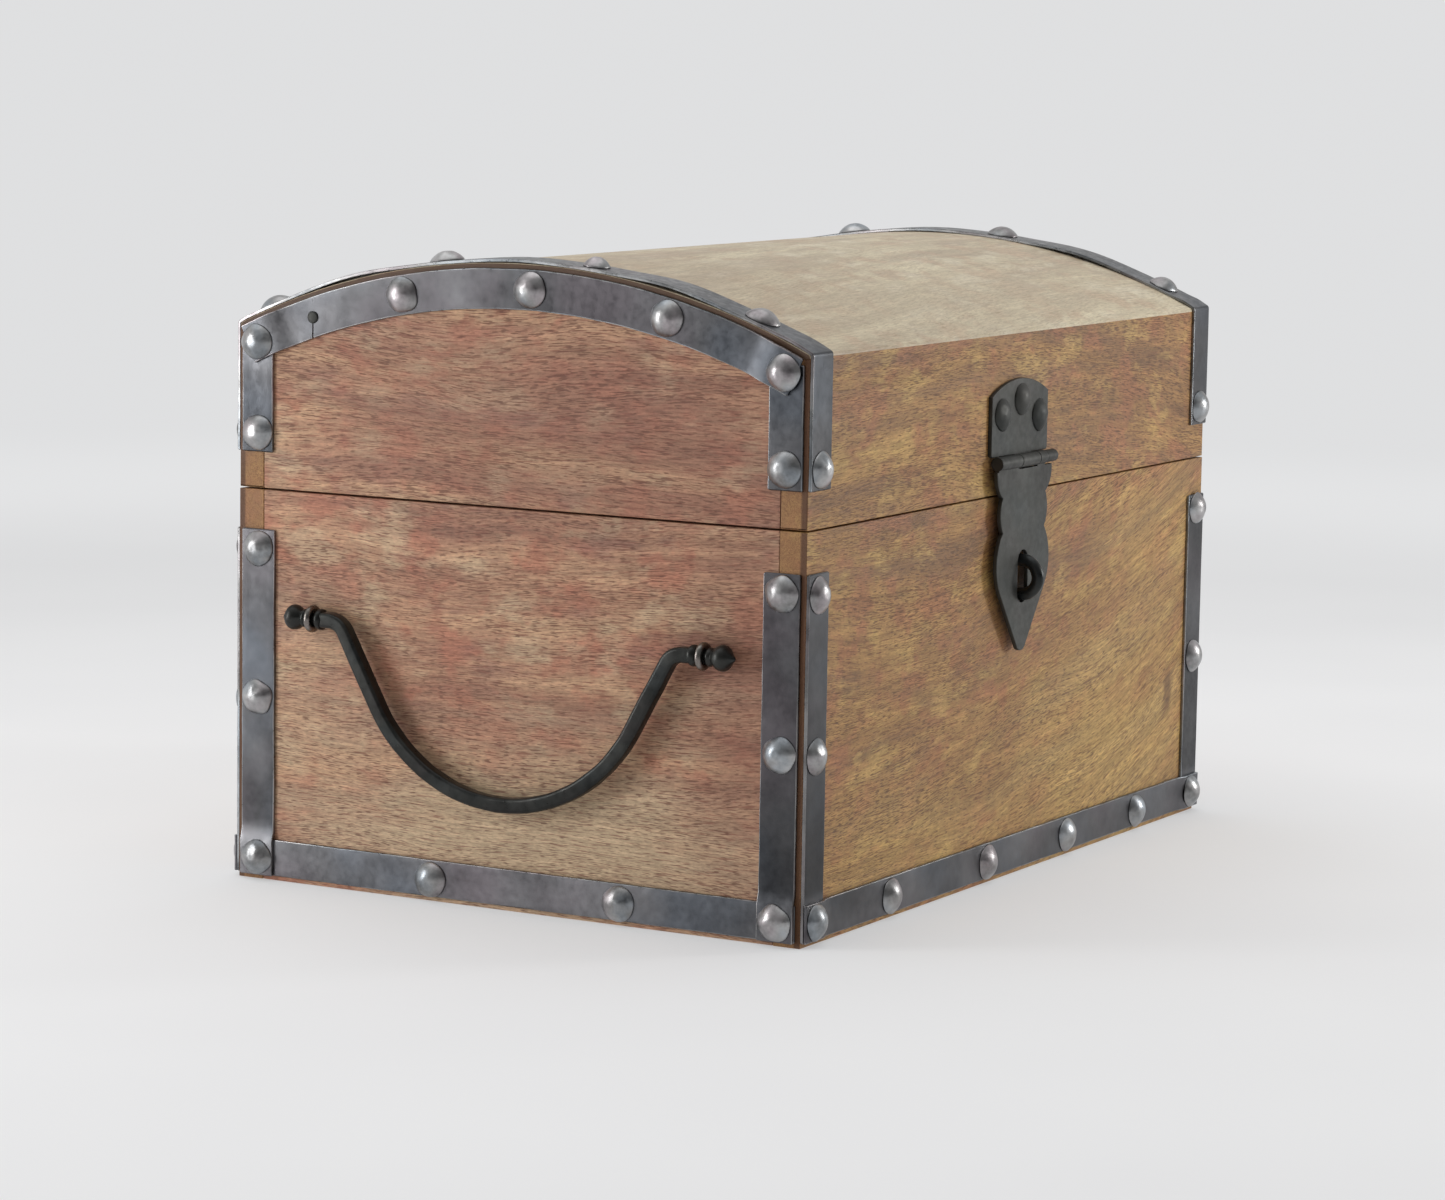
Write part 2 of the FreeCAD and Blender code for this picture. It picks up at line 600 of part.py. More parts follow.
def bail_finial():
    """Collar, neck, bead and pointed finial at one end of the bar."""
    ball_start = FINIAL_Y - math.sqrt(FINIAL_R ** 2 - LIP_R ** 2)
    ball_end = FINIAL_Y + math.sqrt(FINIAL_R ** 2 - TIP_R ** 2)
    outline = [(0, COLLAR_Y), (COLLAR_FACE_R, COLLAR_Y)]
    outline += [(COLLAR_R, COLLAR_Y + COLLAR_RIM), (COLLAR_R, COLLAR_Y + COLLAR_BAND)]
    outline += [(LIP_R, NECK_Y), (NECK_R, NECK_Y), (NECK_R, NECK_END_Y), (LIP_R, NECK_END_Y)]
    outline += [(BEAD_R, (NECK_END_Y + BEAD_END_Y) / 2), (LIP_R, BEAD_END_Y)]
    outline += [(LIP_R, ball_start), ((FINIAL_R, FINIAL_Y), (TIP_R, ball_end)), (0, FINIAL_TIP_Y)]
    return aimed(turned(outline), V(-PIVOT_X, 0, PIVOT_Z), BACK)


def bail():
    """Round bottom, then on each side a straight limb, an elbow, a short arm and the finial."""
    centre_z = BAIL_BOTTOM_Z + BAIL_R
    limb_y = BAIL_R * math.sin(BAIL_ARC)
    limb_z = centre_z - BAIL_R * math.cos(BAIL_ARC)
    bottom = bent(-limb_y, limb_z, -BAIL_ARC, 0, centre_z, 2 * BAIL_ARC)

    tangent = ELBOW_R * math.tan(BAIL_ARC / 2)
    limb = (PIVOT_Z - limb_z) / math.sin(BAIL_ARC) - tangent
    bend_y = limb_y + limb * math.cos(BAIL_ARC)
    bend_z = limb_z + limb * math.sin(BAIL_ARC)
    arm_y = bend_y + ELBOW_R * math.sin(BAIL_ARC)
    arm = COLLAR_Y + COLLAR_RIM - arm_y
    side = [straight(limb_y, limb_z, BAIL_ARC, limb)]
    side += [bent(bend_y, bend_z, BAIL_ARC, arm_y, PIVOT_Z - ELBOW_R, -BAIL_ARC)]
    side += [straight(arm_y, PIVOT_Z, 0, arm), bail_finial()]
    return bottom.fuse(side + [mirrored_y(piece) for piece in side]).removeSplitter()


def build_bails():
    nodes["left_bail"] = bail()
    nodes["right_bail"] = mirrored_x(bail())


def drill_eye_hole(y, outward):
    """Right through an end board."""
    drill(EYE_SHANK_R, WALL + 1, V(outward.x * END_X, y, PIVOT_Z), outward)


def handle_eye(y):
    """Wire eye round the bail's neck, its legs driven through the board and clenched."""
    ring_r = NECK_R + EYE_PLAY + EYE_WIRE_R
    ring = Part.makeTorus(ring_r, EYE_WIRE_R, V(-PIVOT_X, y, PIVOT_Z), BACK)
    shank_x = -PIVOT_X + ring_r
    shank = rod_x(shank_x - EYE_WIRE_R / 2, -INNER_X + EYE_SHANK_R, y, PIVOT_Z, EYE_SHANK_R)
    leg_r = EYE_SHANK_R * 0.75
    legs = Part.makeCylinder(leg_r, 2 * CLENCH, V(-INNER_X + leg_r, y, PIVOT_Z - CLENCH), UP)
    drill_eye_hole(y, LEFT)
    return ring.fuse([shank, legs])


def build_handle_eyes():
    eyes = Part.makeCompound([handle_eye(EYE_Y), handle_eye(-EYE_Y)])
    nodes["left_handle_eyes"] = eyes
    nodes["right_handle_eyes"] = mirrored_x(eyes)
    for y in (EYE_Y, -EYE_Y):
        drill_eye_hole(y, RIGHT)


# ---- Holes, and the files ----

FASTENERS = ("nails", "screws", "pin", "eyes", "staple", "bail")


def drill_boards_and_straps():
    for name, shape in nodes.items():
        if name.endswith(FASTENERS):
            continue
        box = shape.BoundBox
        tools = [hole for hole in holes if box.intersect(hole.BoundBox)]
        if tools:
            nodes[name] = shape.cut(tools)


def main():
    build_box_boards()
    build_lid_boards()
    build_end_straps()
    build_face_straps()
    build_gable_straps()
    build_hoops()
    build_strap_nails()
    build_hasp_upper_leaf()
    build_hasp_pin()
    build_hasp_lower_leaf()
    build_staple()
    build_hinges()
    build_bails()
    build_handle_eyes()
    drill_boards_and_straps()

    os.makedirs("parts", exist_ok=True)
    for name, shape in nodes.items():
        shape.exportStep("parts/" + name + ".step")
        print(name, "solids", len(shape.Solids), "valid", shape.isValid())
    print("nodes", len(nodes))


main()
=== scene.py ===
import json
import math
import random

import bmesh
import bpy
from mathutils import Matrix, Vector, noise


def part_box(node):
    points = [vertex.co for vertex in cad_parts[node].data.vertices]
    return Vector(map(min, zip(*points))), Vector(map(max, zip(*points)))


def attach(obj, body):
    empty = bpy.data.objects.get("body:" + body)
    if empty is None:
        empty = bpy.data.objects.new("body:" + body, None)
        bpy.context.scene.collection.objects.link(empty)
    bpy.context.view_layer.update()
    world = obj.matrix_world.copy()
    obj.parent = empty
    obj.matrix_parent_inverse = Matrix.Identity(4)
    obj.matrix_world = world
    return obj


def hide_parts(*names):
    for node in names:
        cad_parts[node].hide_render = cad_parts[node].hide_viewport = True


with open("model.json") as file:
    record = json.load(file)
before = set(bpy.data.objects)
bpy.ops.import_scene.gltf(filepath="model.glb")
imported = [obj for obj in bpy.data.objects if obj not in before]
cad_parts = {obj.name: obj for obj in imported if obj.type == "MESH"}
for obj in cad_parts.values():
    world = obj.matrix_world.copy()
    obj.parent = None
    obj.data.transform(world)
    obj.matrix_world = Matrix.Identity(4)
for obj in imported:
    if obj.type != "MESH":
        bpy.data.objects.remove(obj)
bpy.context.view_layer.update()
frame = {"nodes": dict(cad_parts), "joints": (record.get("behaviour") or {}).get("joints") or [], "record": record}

# The looks of a small nailed wooden chest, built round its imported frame.
# Metres, in the frame of the CAD: X runs along the length, -Y is the front, +Z is up.

NODES = frame["nodes"]
BODIES = frame["record"]["behaviour"]["bodies"]
BODY_OF = {node: body for body, nodes in BODIES.items() for node in nodes}
JOINT = {joint["name"]: joint for joint in frame["joints"]}
MM = 0.001
LENGTHWISE = Vector((1, 0, 0))
BACKWARD = Vector((0, 1, 0))
UP = Vector((0, 0, 1))

# ---- Measures read from the frame ----
FRONT_LOW, FRONT_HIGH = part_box("front_board")
END_X = FRONT_HIGH.x
FACE_Y = -FRONT_LOW.y
INNER_Y = -FRONT_HIGH.y
WALL = FACE_Y - INNER_Y
INNER_X = END_X - WALL
RAIL_LOW, RAIL_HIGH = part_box("lid_front_rail")
LID_BOTTOM = RAIL_LOW.z
CORNER_Z = RAIL_HIGH.z
ROOF_LOW, ROOF_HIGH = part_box("roof_panel")
ARCH_RISE = ROOF_HIGH.z - CORNER_Z
ROOF_R = (FACE_Y ** 2 + ARCH_RISE ** 2) / (2 * ARCH_RISE)
ROOF_CENTRE_Z = ROOF_HIGH.z - ROOF_R
UNDER_Z = ROOF_LOW.z
UNDER_R = math.hypot(INNER_Y, UNDER_Z - ROOF_CENTRE_Z)
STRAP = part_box("left_foot_strap")[1].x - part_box("left_foot_strap")[0].x
HOOP_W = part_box("left_roof_hoop")[1].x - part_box("left_roof_hoop")[0].x

# ---- Finish of the edges ----
ARRIS = 0.5 * MM           # rounding of the end boards' edges
FRONT_ARRIS = 0.22 * MM    # rounding of the other boards' edges
ROOF_ARRIS = 0.9 * MM
STRAP_ROUND = 0.32 * MM
LEAF_ROUND = 0.35 * MM
JOG = 2.4 * MM             # length over which a strap steps up onto another
SHARP = math.radians(38)


# ---- Meshes ----

def skin(bm, rings, joined=False, marked=()):
    """Skin rings of points; a ring of one point is a tip. Open skins get flat ends."""
    made = [[bm.verts.new(point) for point in ring] for ring in rings]
    pairs = list(zip(made, made[1:]))
    if joined:
        pairs.append((made[-1], made[0]))
    for low, high in pairs:
        for i in range(max(len(low), len(high))):
            around = [low[i % len(low)], low[(i + 1) % len(low)]]
            around += [high[(i + 1) % len(high)], high[i % len(high)]]
            face = bm.faces.new(list(dict.fromkeys(around)))
            face.material_index = int(i in marked)
    if not joined:
        for end in (made[0], made[-1]):
            if len(end) > 2:
                bm.faces.new(end)
    return made


def make_piece(name, bm, materials, node, sharp=SHARP):
    """A closed mesh as a piece that stands for a CAD node, on its body and with the given materials."""
    bmesh.ops.recalc_face_normals(bm, faces=bm.faces)
    mesh = bpy.data.meshes.new(name)
    bm.to_mesh(mesh)
    bm.free()
    for material in materials:
        mesh.materials.append(material)
    mesh.shade_smooth()
    mesh.set_sharp_from_angle(angle=sharp)
    piece = bpy.data.objects.new(name, mesh)
    bpy.context.scene.collection.objects.link(piece)
    even = piece.modifiers.new("even_shading", "WEIGHTED_NORMAL")
    even.keep_sharp = True
    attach(piece, BODY_OF[node])
    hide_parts(node)


def blend_in(t):
    """A smooth step from 0 to 1."""
    t = min(1.0, max(0.0, t))
    return t * t * (3 - 2 * t)


def arc(centre, radius, start, end, count):
    """Points on an arc in a plane, angles in radians, both ends included."""
    points = []
    for i in range(count + 1):
        angle = start + (end - start) * i / count
        points.append((centre[0] + radius * math.cos(angle), centre[1] + radius * math.sin(angle)))
    return points


def arc_through(start, through, end, count):
    """Points on the arc from start through a point to end, without the start."""
    (ax, ay), (bx, by), (cx, cy) = start, through, end
    d = 2 * (ax * (by - cy) + bx * (cy - ay) + cx * (ay - by))
    a2, b2, c2 = ax * ax + ay * ay, bx * bx + by * by, cx * cx + cy * cy
    ux = (a2 * (by - cy) + b2 * (cy - ay) + c2 * (ay - by)) / d
    uy = (a2 * (cx - bx) + b2 * (ax - cx) + c2 * (bx - ax)) / d
    radius = math.hypot(ax - ux, ay - uy)
    first = math.atan2(ay - uy, ax - ux)
    last = math.atan2(cy - uy, cx - ux)
    middle = math.atan2(by - uy, bx - ux)
    turn = (last - first) % math.tau
    if (middle - first) % math.tau > turn:
        turn -= math.tau
    return arc((ux, uy), radius, first, first + turn, count)[1:]


def signed_area(outline):
    return sum(a[0] * b[1] - b[0] * a[1] for a, b in zip(outline, outline[1:] + outline[:1])) / 2


def inset(outline, distance):
    """The closed outline moved inward by a distance."""
    side = 1 if signed_area(outline) > 0 else -1
    moved = []
    for before, here, after in zip(outline[-1:] + outline[:-1], outline, outline[1:] + outline[:1]):
        first = (Vector(here) - Vector(before)).normalized()
        second = (Vector(after) - Vector(here)).normalized()
        inward = Vector((-first.y - second.y, first.x + second.x)).normalized() * side
        across = Vector((-first.y, first.x)) * side
        moved.append(Vector(here) + inward * distance / max(0.4, inward.dot(across)))
    return moved


def add_plate(bm, outline, place, thickness, rounding, hole=None):
    """A slab of an outline with rounded rims; place puts (u, v, w) in space, w through the slab."""
    levels = [(rounding, 0), (0.3 * rounding, 0.3 * rounding), (0, rounding)]
    levels += [(shrink, thickness - w) for shrink, w in reversed(levels)]

    def rings_of(line, sign):
        return [[place(u, v, w) for u, v in inset(line, sign * shrink)] for shrink, w in levels]

    if not hole:
        skin(bm, rings_of(outline, 1))
        return
    for end in (0, -1):
        loops = [rings_of(outline, 1)[end], rings_of(hole, -1)[end]]
        edges = []
        for loop in loops:
            verts = [bm.verts.new(point) for point in loop]
            edges += [bm.edges.new((a, b)) for a, b in zip(verts, verts[1:] + verts[:1])]
        bmesh.ops.triangle_fill(bm, edges=edges, use_beauty=True)
    for line, sign in ((outline, 1), (hole, -1)):
        rings = rings_of(line, sign)
        made = [[bm.verts.new(point) for point in ring] for ring in rings]
        for low, high in zip(made, made[1:]):
            for i in range(len(low)):
                j = (i + 1) % len(low)
                bm.faces.new((low[i], low[j], high[j], high[i]))
    bmesh.ops.remove_doubles(bm, verts=bm.verts, dist=1e-7)


def rectangle(u0, u1, v0, v1, radius):
    """Rounded rectangle, counterclockwise."""
    points = []
    quarter = math.pi / 2
    corners = [(u1 - radius, v0 + radius), (u1 - radius, v1 - radius)]
    corners += [(u0 + radius, v1 - radius), (u0 + radius, v0 + radius)]
    for i, corner in enumerate(corners):
        points += arc(corner, radius, (i - 1) * quarter, i * quarter, 3)
    return points


def across_and_round(axis):
    """Two directions square to an axis and to each other."""
    first = axis.orthogonal().normalized()
    return first, axis.cross(first).normalized()


def add_turned(bm, profile, origin, axis, sides=28):
    """A profile of (along, radius) pairs turned round an axis."""
    first, second = across_and_round(axis)
    rings = []
    for along, radius in profile:
        centre = origin + axis * along
        if radius == 0:
            rings.append([centre])
            continue
        angles = [math.tau * i / sides for i in range(sides)]
        rings.append([centre + radius * (math.cos(a) * first + math.sin(a) * second) for a in angles])
    skin(bm, rings)


def rod_profile(length, radius, rounding=0.3 * MM):
    """A rod with rounded rims."""
    start = [(0, 0), (0, radius - rounding)]
    start += [(0.3 * rounding, radius - 0.3 * rounding), (rounding, radius)]
    return start + [(length - along, r) for along, r in reversed(start)]


def add_sweep(bm, points, normal, section, joined=False):
    """Sweep a section of (side, normal) pairs along a flat path with that normal."""
    rings = []
    count = len(points)
    for i, point in enumerate(points):
        if joined:
            tangent = points[(i + 1) % count] - points[i - 1]
        else:
            tangent = points[min(i + 1, count - 1)] - points[max(i - 1, 0)]
        side = normal.cross(tangent.normalized())
        rings.append([point + side * a + normal * b for a, b in section])
    skin(bm, rings, joined)


def wire_section(radius, sides=16):
    return arc((0, 0), radius, 0, math.tau, sides)[:-1]


# ---- Boards ----

APART = [Vector((9.3, -1.5, -8.0)), Vector((-7.9, 4.3, 2.2)), Vector((3.1, 8.6, -4.7))]


def uneven(bm, amount, scale, seed):
    """A little hand-worked unevenness, from three readings of the noise for each point."""
    shift = Vector((seed * 3.7, seed * 1.3, seed * 5.1))
    for vert in bm.verts:
        place = vert.co * scale + shift
        vert.co += Vector([noise.noise(place + away) for away in APART]) * amount


def board(node, material, arris=ARRIS):
    """A plain board in the space of a CAD node, with rounded edges."""
    low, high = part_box(node)
    size = high - low
    thin = min(range(3), key=lambda axis: size[axis])
    u, v = [axis for axis in range(3) if axis != thin]

    def place(a, b, w):
        point = Vector((0, 0, 0))
        point[u], point[v], point[thin] = a, b, low[thin] + w
        return point

    outline = rectangle(low[u], high[u], low[v], high[v], arris)
    bm = bmesh.new()
    add_plate(bm, outline, place, size[thin], arris)
    make_piece(node + "_wood", bm, [material], node)


def roof_line(radius, from_y, to_y, count):
    """Points on an arc round the roof's centre, between two distances from the middle."""
    first, last = math.asin(from_y / radius), math.asin(to_y / radius)
    angles = [first + (last - first) * i / count for i in range(count + 1)]
    return [(radius * math.sin(a), ROOF_CENTRE_Z + radius * math.cos(a)) for a in angles]


def rail(node, side, material):
    """Front or back rail of the lid, mitred to the roof panel just below the corner."""
    mitre_z = CORNER_Z - ROOF_ARRIS
    foot = LID_BOTTOM + FRONT_ARRIS
    outline = arc((-FACE_Y + FRONT_ARRIS, foot), FRONT_ARRIS, math.pi, 1.5 * math.pi, 3)
    outline += arc((-INNER_Y - FRONT_ARRIS, foot), FRONT_ARRIS, 1.5 * math.pi, math.tau, 3)
    outline += [(-INNER_Y, UNDER_Z), (-FACE_Y, mitre_z)]
    bm = bmesh.new()
    place = lambda u, v, w: Vector((-END_X + w, -side * u, v))
    add_plate(bm, outline, place, 2 * END_X, ARRIS)
    make_piece(node + "_wood", bm, [material], node)


def gable(node, side, material):
    outline = arc((-INNER_Y + ARRIS, LID_BOTTOM + ARRIS), ARRIS, math.pi, 1.5 * math.pi, 3)
    outline += arc((INNER_Y - ARRIS, LID_BOTTOM + ARRIS), ARRIS, 1.5 * math.pi, math.tau, 3)
    outline += roof_line(UNDER_R, INNER_Y, -INNER_Y, 60)
    bm = bmesh.new()
    place = lambda u, v, w: Vector((side * (END_X - w), u, v))
    add_plate(bm, outline, place, WALL, ARRIS)
    make_piece(node + "_wood", bm, [material], node)


def roof_panel(material):
    """The curved top: a thin section along the chest, carried over the arc from mitre to mitre."""
    drop = ROOF_ARRIS
    top = roof_line(ROOF_R, -FACE_Y + drop, FACE_Y - drop, 120)
    knee = (FACE_Y - 0.22 * drop, CORNER_Z - 0.1 * drop)
    right = arc_through(top[-1], knee, (FACE_Y, CORNER_Z - drop), 4)
    over = [(-y, z) for y, z in reversed(right)] + top + right
    under = roof_line(UNDER_R, -INNER_Y, INNER_Y, len(over) - 1)
    steps = 40
    ends = [0, 0.15 * ARRIS, 0.5 * ARRIS, ARRIS]
    lengthwise = [ARRIS + (2 * END_X - 2 * ARRIS) * i / steps for i in range(1, steps)]
    along = ends + lengthwise + [2 * END_X - end for end in reversed(ends)]
    thick = ROOF_R - UNDER_R
    shrinks = [ARRIS, 0.5 * ARRIS, 0.15 * ARRIS, 0]
    shrinks += [0] * len(lengthwise) + list(reversed(shrinks))
    rings = []
    for (oy, oz), (uy, uz) in zip(over, under):
        outer, inner = Vector((0, oy, oz)), Vector((0, uy, uz))
        ring = [outer.lerp(inner, s / thick) + Vector((x - END_X, 0, 0)) for x, s in zip(along, shrinks)]
        ring += [inner.lerp(outer, s / thick) + Vector((x - END_X, 0, 0))
                 for x, s in reversed(list(zip(along, shrinks)))]
        rings.append(ring)
    bm = bmesh.new()
    skin(bm, rings)
    make_piece("roof_panel_wood", bm, [material], "roof_panel")


def build_wood(finish):
    board("front_board", finish["front_wood"], FRONT_ARRIS)
    for node in ("back_board", "bottom_board"):
        board(node, finish["back_wood"], FRONT_ARRIS)
    for node in ("left_end_board", "right_end_board"):
        board(node, finish["end_wood"])
    rail("lid_front_rail", 1, finish["front_wood"])
    rail("lid_back_rail", -1, finish["back_wood"])
    gable("lid_left_gable", -1, finish["gable_wood"])
    gable("lid_right_gable", 1, finish["gable_wood"])
    roof_panel(finish["roof_wood"])


# ---- Straps ----

def strap_section(low, high, seed, along):
    """Rounded strip section of (across, out) pairs, its edges and face a little uneven."""
    ragged = 0.16 * MM
    low += ragged * (noise.noise(Vector((along * 90, seed, 0.3))) * 0.8 + 0.35)
    high += ragged * (noise.noise(Vector((along * 90, seed, 7.9))) * 0.8 - 0.35)
    r = STRAP_ROUND
    inner = 0.12 * MM
    points = [(low + inner, 0), (high - inner, 0), (high, inner)]
    points += [(high, STRAP - r), (high - 0.3 * r, STRAP - 0.3 * r), (high - r, STRAP)]
    for i in range(1, 6):
        across = high - r + (low - high + 2 * r) * i / 6
        dent = noise.noise(Vector((along * 70, across * 110 + seed * 2.1, seed))) * 0.07 * MM
        points.append((across, STRAP + min(0, dent - 0.02 * MM)))
    points += [(low + r, STRAP), (low + 0.3 * r, STRAP - 0.3 * r), (low, STRAP - r), (low, inner)]
    return points


# The strap's edge faces take the paler cut-edge iron: partly bare cut metal and partly a painted highlight.
EDGE_STRIPS = (1, 2, 3, 4, 11, 12, 13, 14)


def strap(node, stations, low, high, seed, finish, slit=None):
    """A strap along stations of (distance, origin, across, out), between two distances across.

    slit is a stretch of distances where the low edge is raised to the middle."""
    rings = []
    last = len(stations) - 1
    for i, (distance, origin, across, out) in enumerate(stations):
        cut = slit and slit[0] <= distance <= slit[1]
        section = strap_section((low + high) / 2 if cut else low, high, seed, distance)
        if i in (0, last):
            middle, centre = STRAP / 2, (low + high) / 2
            narrow, thin = 1 - 2 * STRAP_ROUND / (high - low), 1 - STRAP_ROUND / middle
            section = [(centre + (a - centre) * narrow, middle + (o - middle) * thin) for a, o in section]
        rings.append([origin + across * a + out * o for a, o in section])
    bm = bmesh.new()
    skin(bm, rings, marked=EDGE_STRIPS)
    make_piece(node + "_iron", bm, [finish["strap_iron"], finish["cut_edge"]], node)


def spaced(length, pitch=3.5 * MM):
    """Distances along a strap, with a short first and last step for the rounded ends."""
    count = max(2, round((length - 2 * STRAP_ROUND) / pitch))
    inner = [STRAP_ROUND + (length - 2 * STRAP_ROUND) * i / count for i in range(count + 1)]
    return [0.0] + inner + [length]


def straight_strap(node, start, along, across, out, length, width, lift, seed, finish):
    """A flat strap; lift(distance) is how far it stands off the wood."""
    stations = [(d, start + along * d + out * lift(d), across, out) for d in spaced(length)]
    strap(node, stations, -width / 2, width / 2, seed, finish)


def flat(distance):
    """The lift of a strap that lies on the wood all along."""
    return 0.0


def build_end_straps(finish):
    for name, side in (("left", -1), ("right", 1)):
        out = Vector((side, 0, 0))
        low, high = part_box(name + "_foot_strap")
        width = high.z - low.z
        start = Vector((side * END_X, low.y, (low.z + high.z) / 2))
        straight_strap(name + "_foot_strap", start, BACKWARD, UP, out, high.y - low.y, width, flat,
                       side, finish)
        foot_top = high.z
        for place in ("front", "back"):
            node = name + "_" + place + "_upright_strap"
            low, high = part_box(node)
            start = Vector((side * END_X, (low.y + high.y) / 2, low.z))
            over = lambda d: STRAP * blend_in(1 - (low.z + d - foot_top) / JOG)
            straight_strap(node, start, UP, BACKWARD, out, high.z - low.z, high.y - low.y, over,
                           side * 2 + len(place), finish)
            node = name + "_" + place + "_gable_strap"
            low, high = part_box(node)
            start = Vector((side * END_X, (low.y + high.y) / 2, low.z))
            top = CORNER_Z - 3 * MM - low.z
            straight_strap(node, start, UP, BACKWARD, out, top, high.y - low.y, flat,
                           side * 3 + len(place), finish)


def build_face_straps(finish):
    for name, side in (("front", -1), ("back", 1)):
        out = Vector((0, side, 0))
        low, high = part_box(name + "_foot_strap")
        start = Vector((low.x, side * FACE_Y, (low.z + high.z) / 2))
        length = high.x - low.x
        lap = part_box(name + "_left_upright_strap")
        lap_w = lap[1].x - lap[0].x
        over = lambda d: STRAP * blend_in(1 - (min(d, length - d) - lap_w) / JOG)
        straight_strap(name + "_foot_strap", start, LENGTHWISE, UP, out, length, high.z - low.z, over,
                       side * 5, finish)
        for end in ("left", "right"):
            node = name + "_" + end + "_upright_strap"
            low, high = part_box(node)
            start = Vector(((low.x + high.x) / 2, side * FACE_Y, low.z))
            straight_strap(node, start, UP, LENGTHWISE, out, high.z - low.z, high.x - low.x, flat,
                           side * 6 + len(end), finish)


SLIT_W = 0.4 * MM
SLIT_REACH = 14 * MM       # over which the strap's sections turn upright beside the slit


def cut_distances(distances, slit):
    """Distances along a strap with a pair close by each side of a slit."""
    step = 0.04 * MM
    start, end = slit
    kept = [d for d in distances if not start - 3 * step < d < end + 3 * step]
    return sorted(kept + [start - step, start, end, end + step])


def build_arch_straps(finish):
    """Arched strap on each gable, its ends lapped over the short uprights."""
    pin_y = nail_seats("flat_pin")[0][0].y
    for name, side in (("left", -1), ("right", 1)):
        node = name + "_arch_strap"
        low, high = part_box(node)
        edge_r = high.z - ROOF_CENTRE_Z
        end = math.asin(high.y / edge_r)
        lap_y = -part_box(name + "_front_gable_strap")[1].y
        out = Vector((side, 0, 0))
        distances = spaced(2 * end * edge_r)
        slit = None
        if side < 0:
            middle = (math.asin(pin_y / edge_r) + end) * edge_r
            slit = (middle - SLIT_W / 2, middle + SLIT_W / 2)
            distances = cut_distances(distances, slit)
        stations = []
        for d in distances:
            angle = d / edge_r - end
            upright = blend_in(1 - abs(d - middle) / SLIT_REACH) if slit else 0
            lean = angle * (1 - upright)
            across = Vector((0, math.sin(lean), math.cos(lean))) / math.cos(angle - lean)
            height = STRAP * blend_in(1 - (lap_y - abs(edge_r * math.sin(angle))) / JOG)
            edge = Vector((0, edge_r * math.sin(angle), ROOF_CENTRE_Z + edge_r * math.cos(angle)))
            stations.append((d, edge + out * (END_X + height), across, out))
        strap(node, stations, -HOOP_W, 0, side * 7, finish, slit)


NAILED_HALF = 6 * MM       # half the stretch of a hoop that its nail holds down
BULGES = (0.2, 0, 0.8, 0, 0.3, 0, 0.7, 0, 0.1)      # stand-off in millimetres, stretch by stretch


def hoop_standoff(y, seats):
    """How far a roof hoop stands off between its nails."""
    held = [edge for seat in seats for edge in (seat - NAILED_HALF, seat + NAILED_HALF)]
    stops = [-FACE_Y] + held + [FACE_Y]
    for first, second, bulge in zip(stops, stops[1:], BULGES):
        if first <= y <= second:
            return bulge * MM * math.sin(math.pi * (y - first) / (second - first)) ** 2
    return 0.0


def build_hoops(finish):
    """Each hoop goes up the front, over the roof and down the back."""
    bend_r = 0.35 * MM
    for name, side in (("left", -1), ("right", 1)):
        node = name + "_roof_hoop"
        low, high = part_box(node)
        on_roof = [seat[0].y for seat in nail_seats(name + "_hoop_nails") if seat[0].z > CORNER_Z]
        seats = sorted(on_roof)
        leg = CORNER_Z - low.z - bend_r
        corner = math.asin(FACE_Y / ROOF_R)
        stations = []
        for d in spaced(leg)[:-1]:
            stations.append((d, Vector((0, -FACE_Y, low.z + d)), Vector((0, -1, 0))))
        bend_centre = Vector((0, -FACE_Y + bend_r, CORNER_Z - bend_r))
        for i in range(7):
            angle = -math.pi / 2 + (math.pi / 2 - corner) * i / 6
            out = Vector((0, math.sin(angle), math.cos(angle)))
            stations.append((leg + i * 0.2 * MM, bend_centre + out * bend_r, out))
        start_angle = -corner + 0.012
        count = 60
        for i in range(count + 1):
            angle = start_angle * (1 - i / count)
            out = Vector((0, math.sin(angle), math.cos(angle)))
            point = Vector((0, 0, ROOF_CENTRE_Z)) + out * (ROOF_R + hoop_standoff(ROOF_R * out.y, seats))
            stations.append((leg + (angle + corner) * ROOF_R, point, out))
        full = stations + [mirror_station(s, stations[-1][0]) for s in reversed(stations[:-1])]
        full = [(d, with_standoff(point, out, seats), out) for d, point, out in full]
        x = side * (END_X - HOOP_W / 2)
        placed = [(d, Vector((x, p.y, p.z)), LENGTHWISE, out) for d, p, out in full]
        strap(node, placed, -HOOP_W / 2, HOOP_W / 2, side * 8, finish)


def mirror_station(station, middle):
    distance, point, out = station
    return (2 * middle - distance, Vector((0, -point.y, point.z)), Vector((0, -out.y, out.z)))


def with_standoff(point, out, seats):
    """Put a station on the roof at its own stand-off; leave those on the legs and bends."""
    if abs(point.y) > FACE_Y - 1.5 * MM:
        return point
    return Vector((0, 0, ROOF_CENTRE_Z)) + out * (ROOF_R + hoop_standoff(point.y, seats))


# ---- Nails ----

def flat_patches(bm):
    """Area, centroid and normal of every flat patch in each loose part of a mesh.

    The faces are kept in a dict, because a set would give them in another order each run."""
    parts = []
    seen = set()
    for start in bm.verts:
        if start in seen:
            continue
        stack, faces = [start], {}
        seen.add(start)
        while stack:
            vert = stack.pop()
            faces.update(dict.fromkeys(vert.link_faces))
            for edge in vert.link_edges:
                other = edge.other_vert(vert)
                if other not in seen:
                    seen.add(other)
                    stack.append(other)
        patches = {}
        for face in faces:
            centre = face.calc_center_median()
            key = tuple(round(c, 2) for c in face.normal) + (round(face.normal.dot(centre), 5),)
            patches.setdefault(key, []).append((face.calc_area(), centre, face.normal.copy()))
        parts.append(list(patches.values()))
    return parts


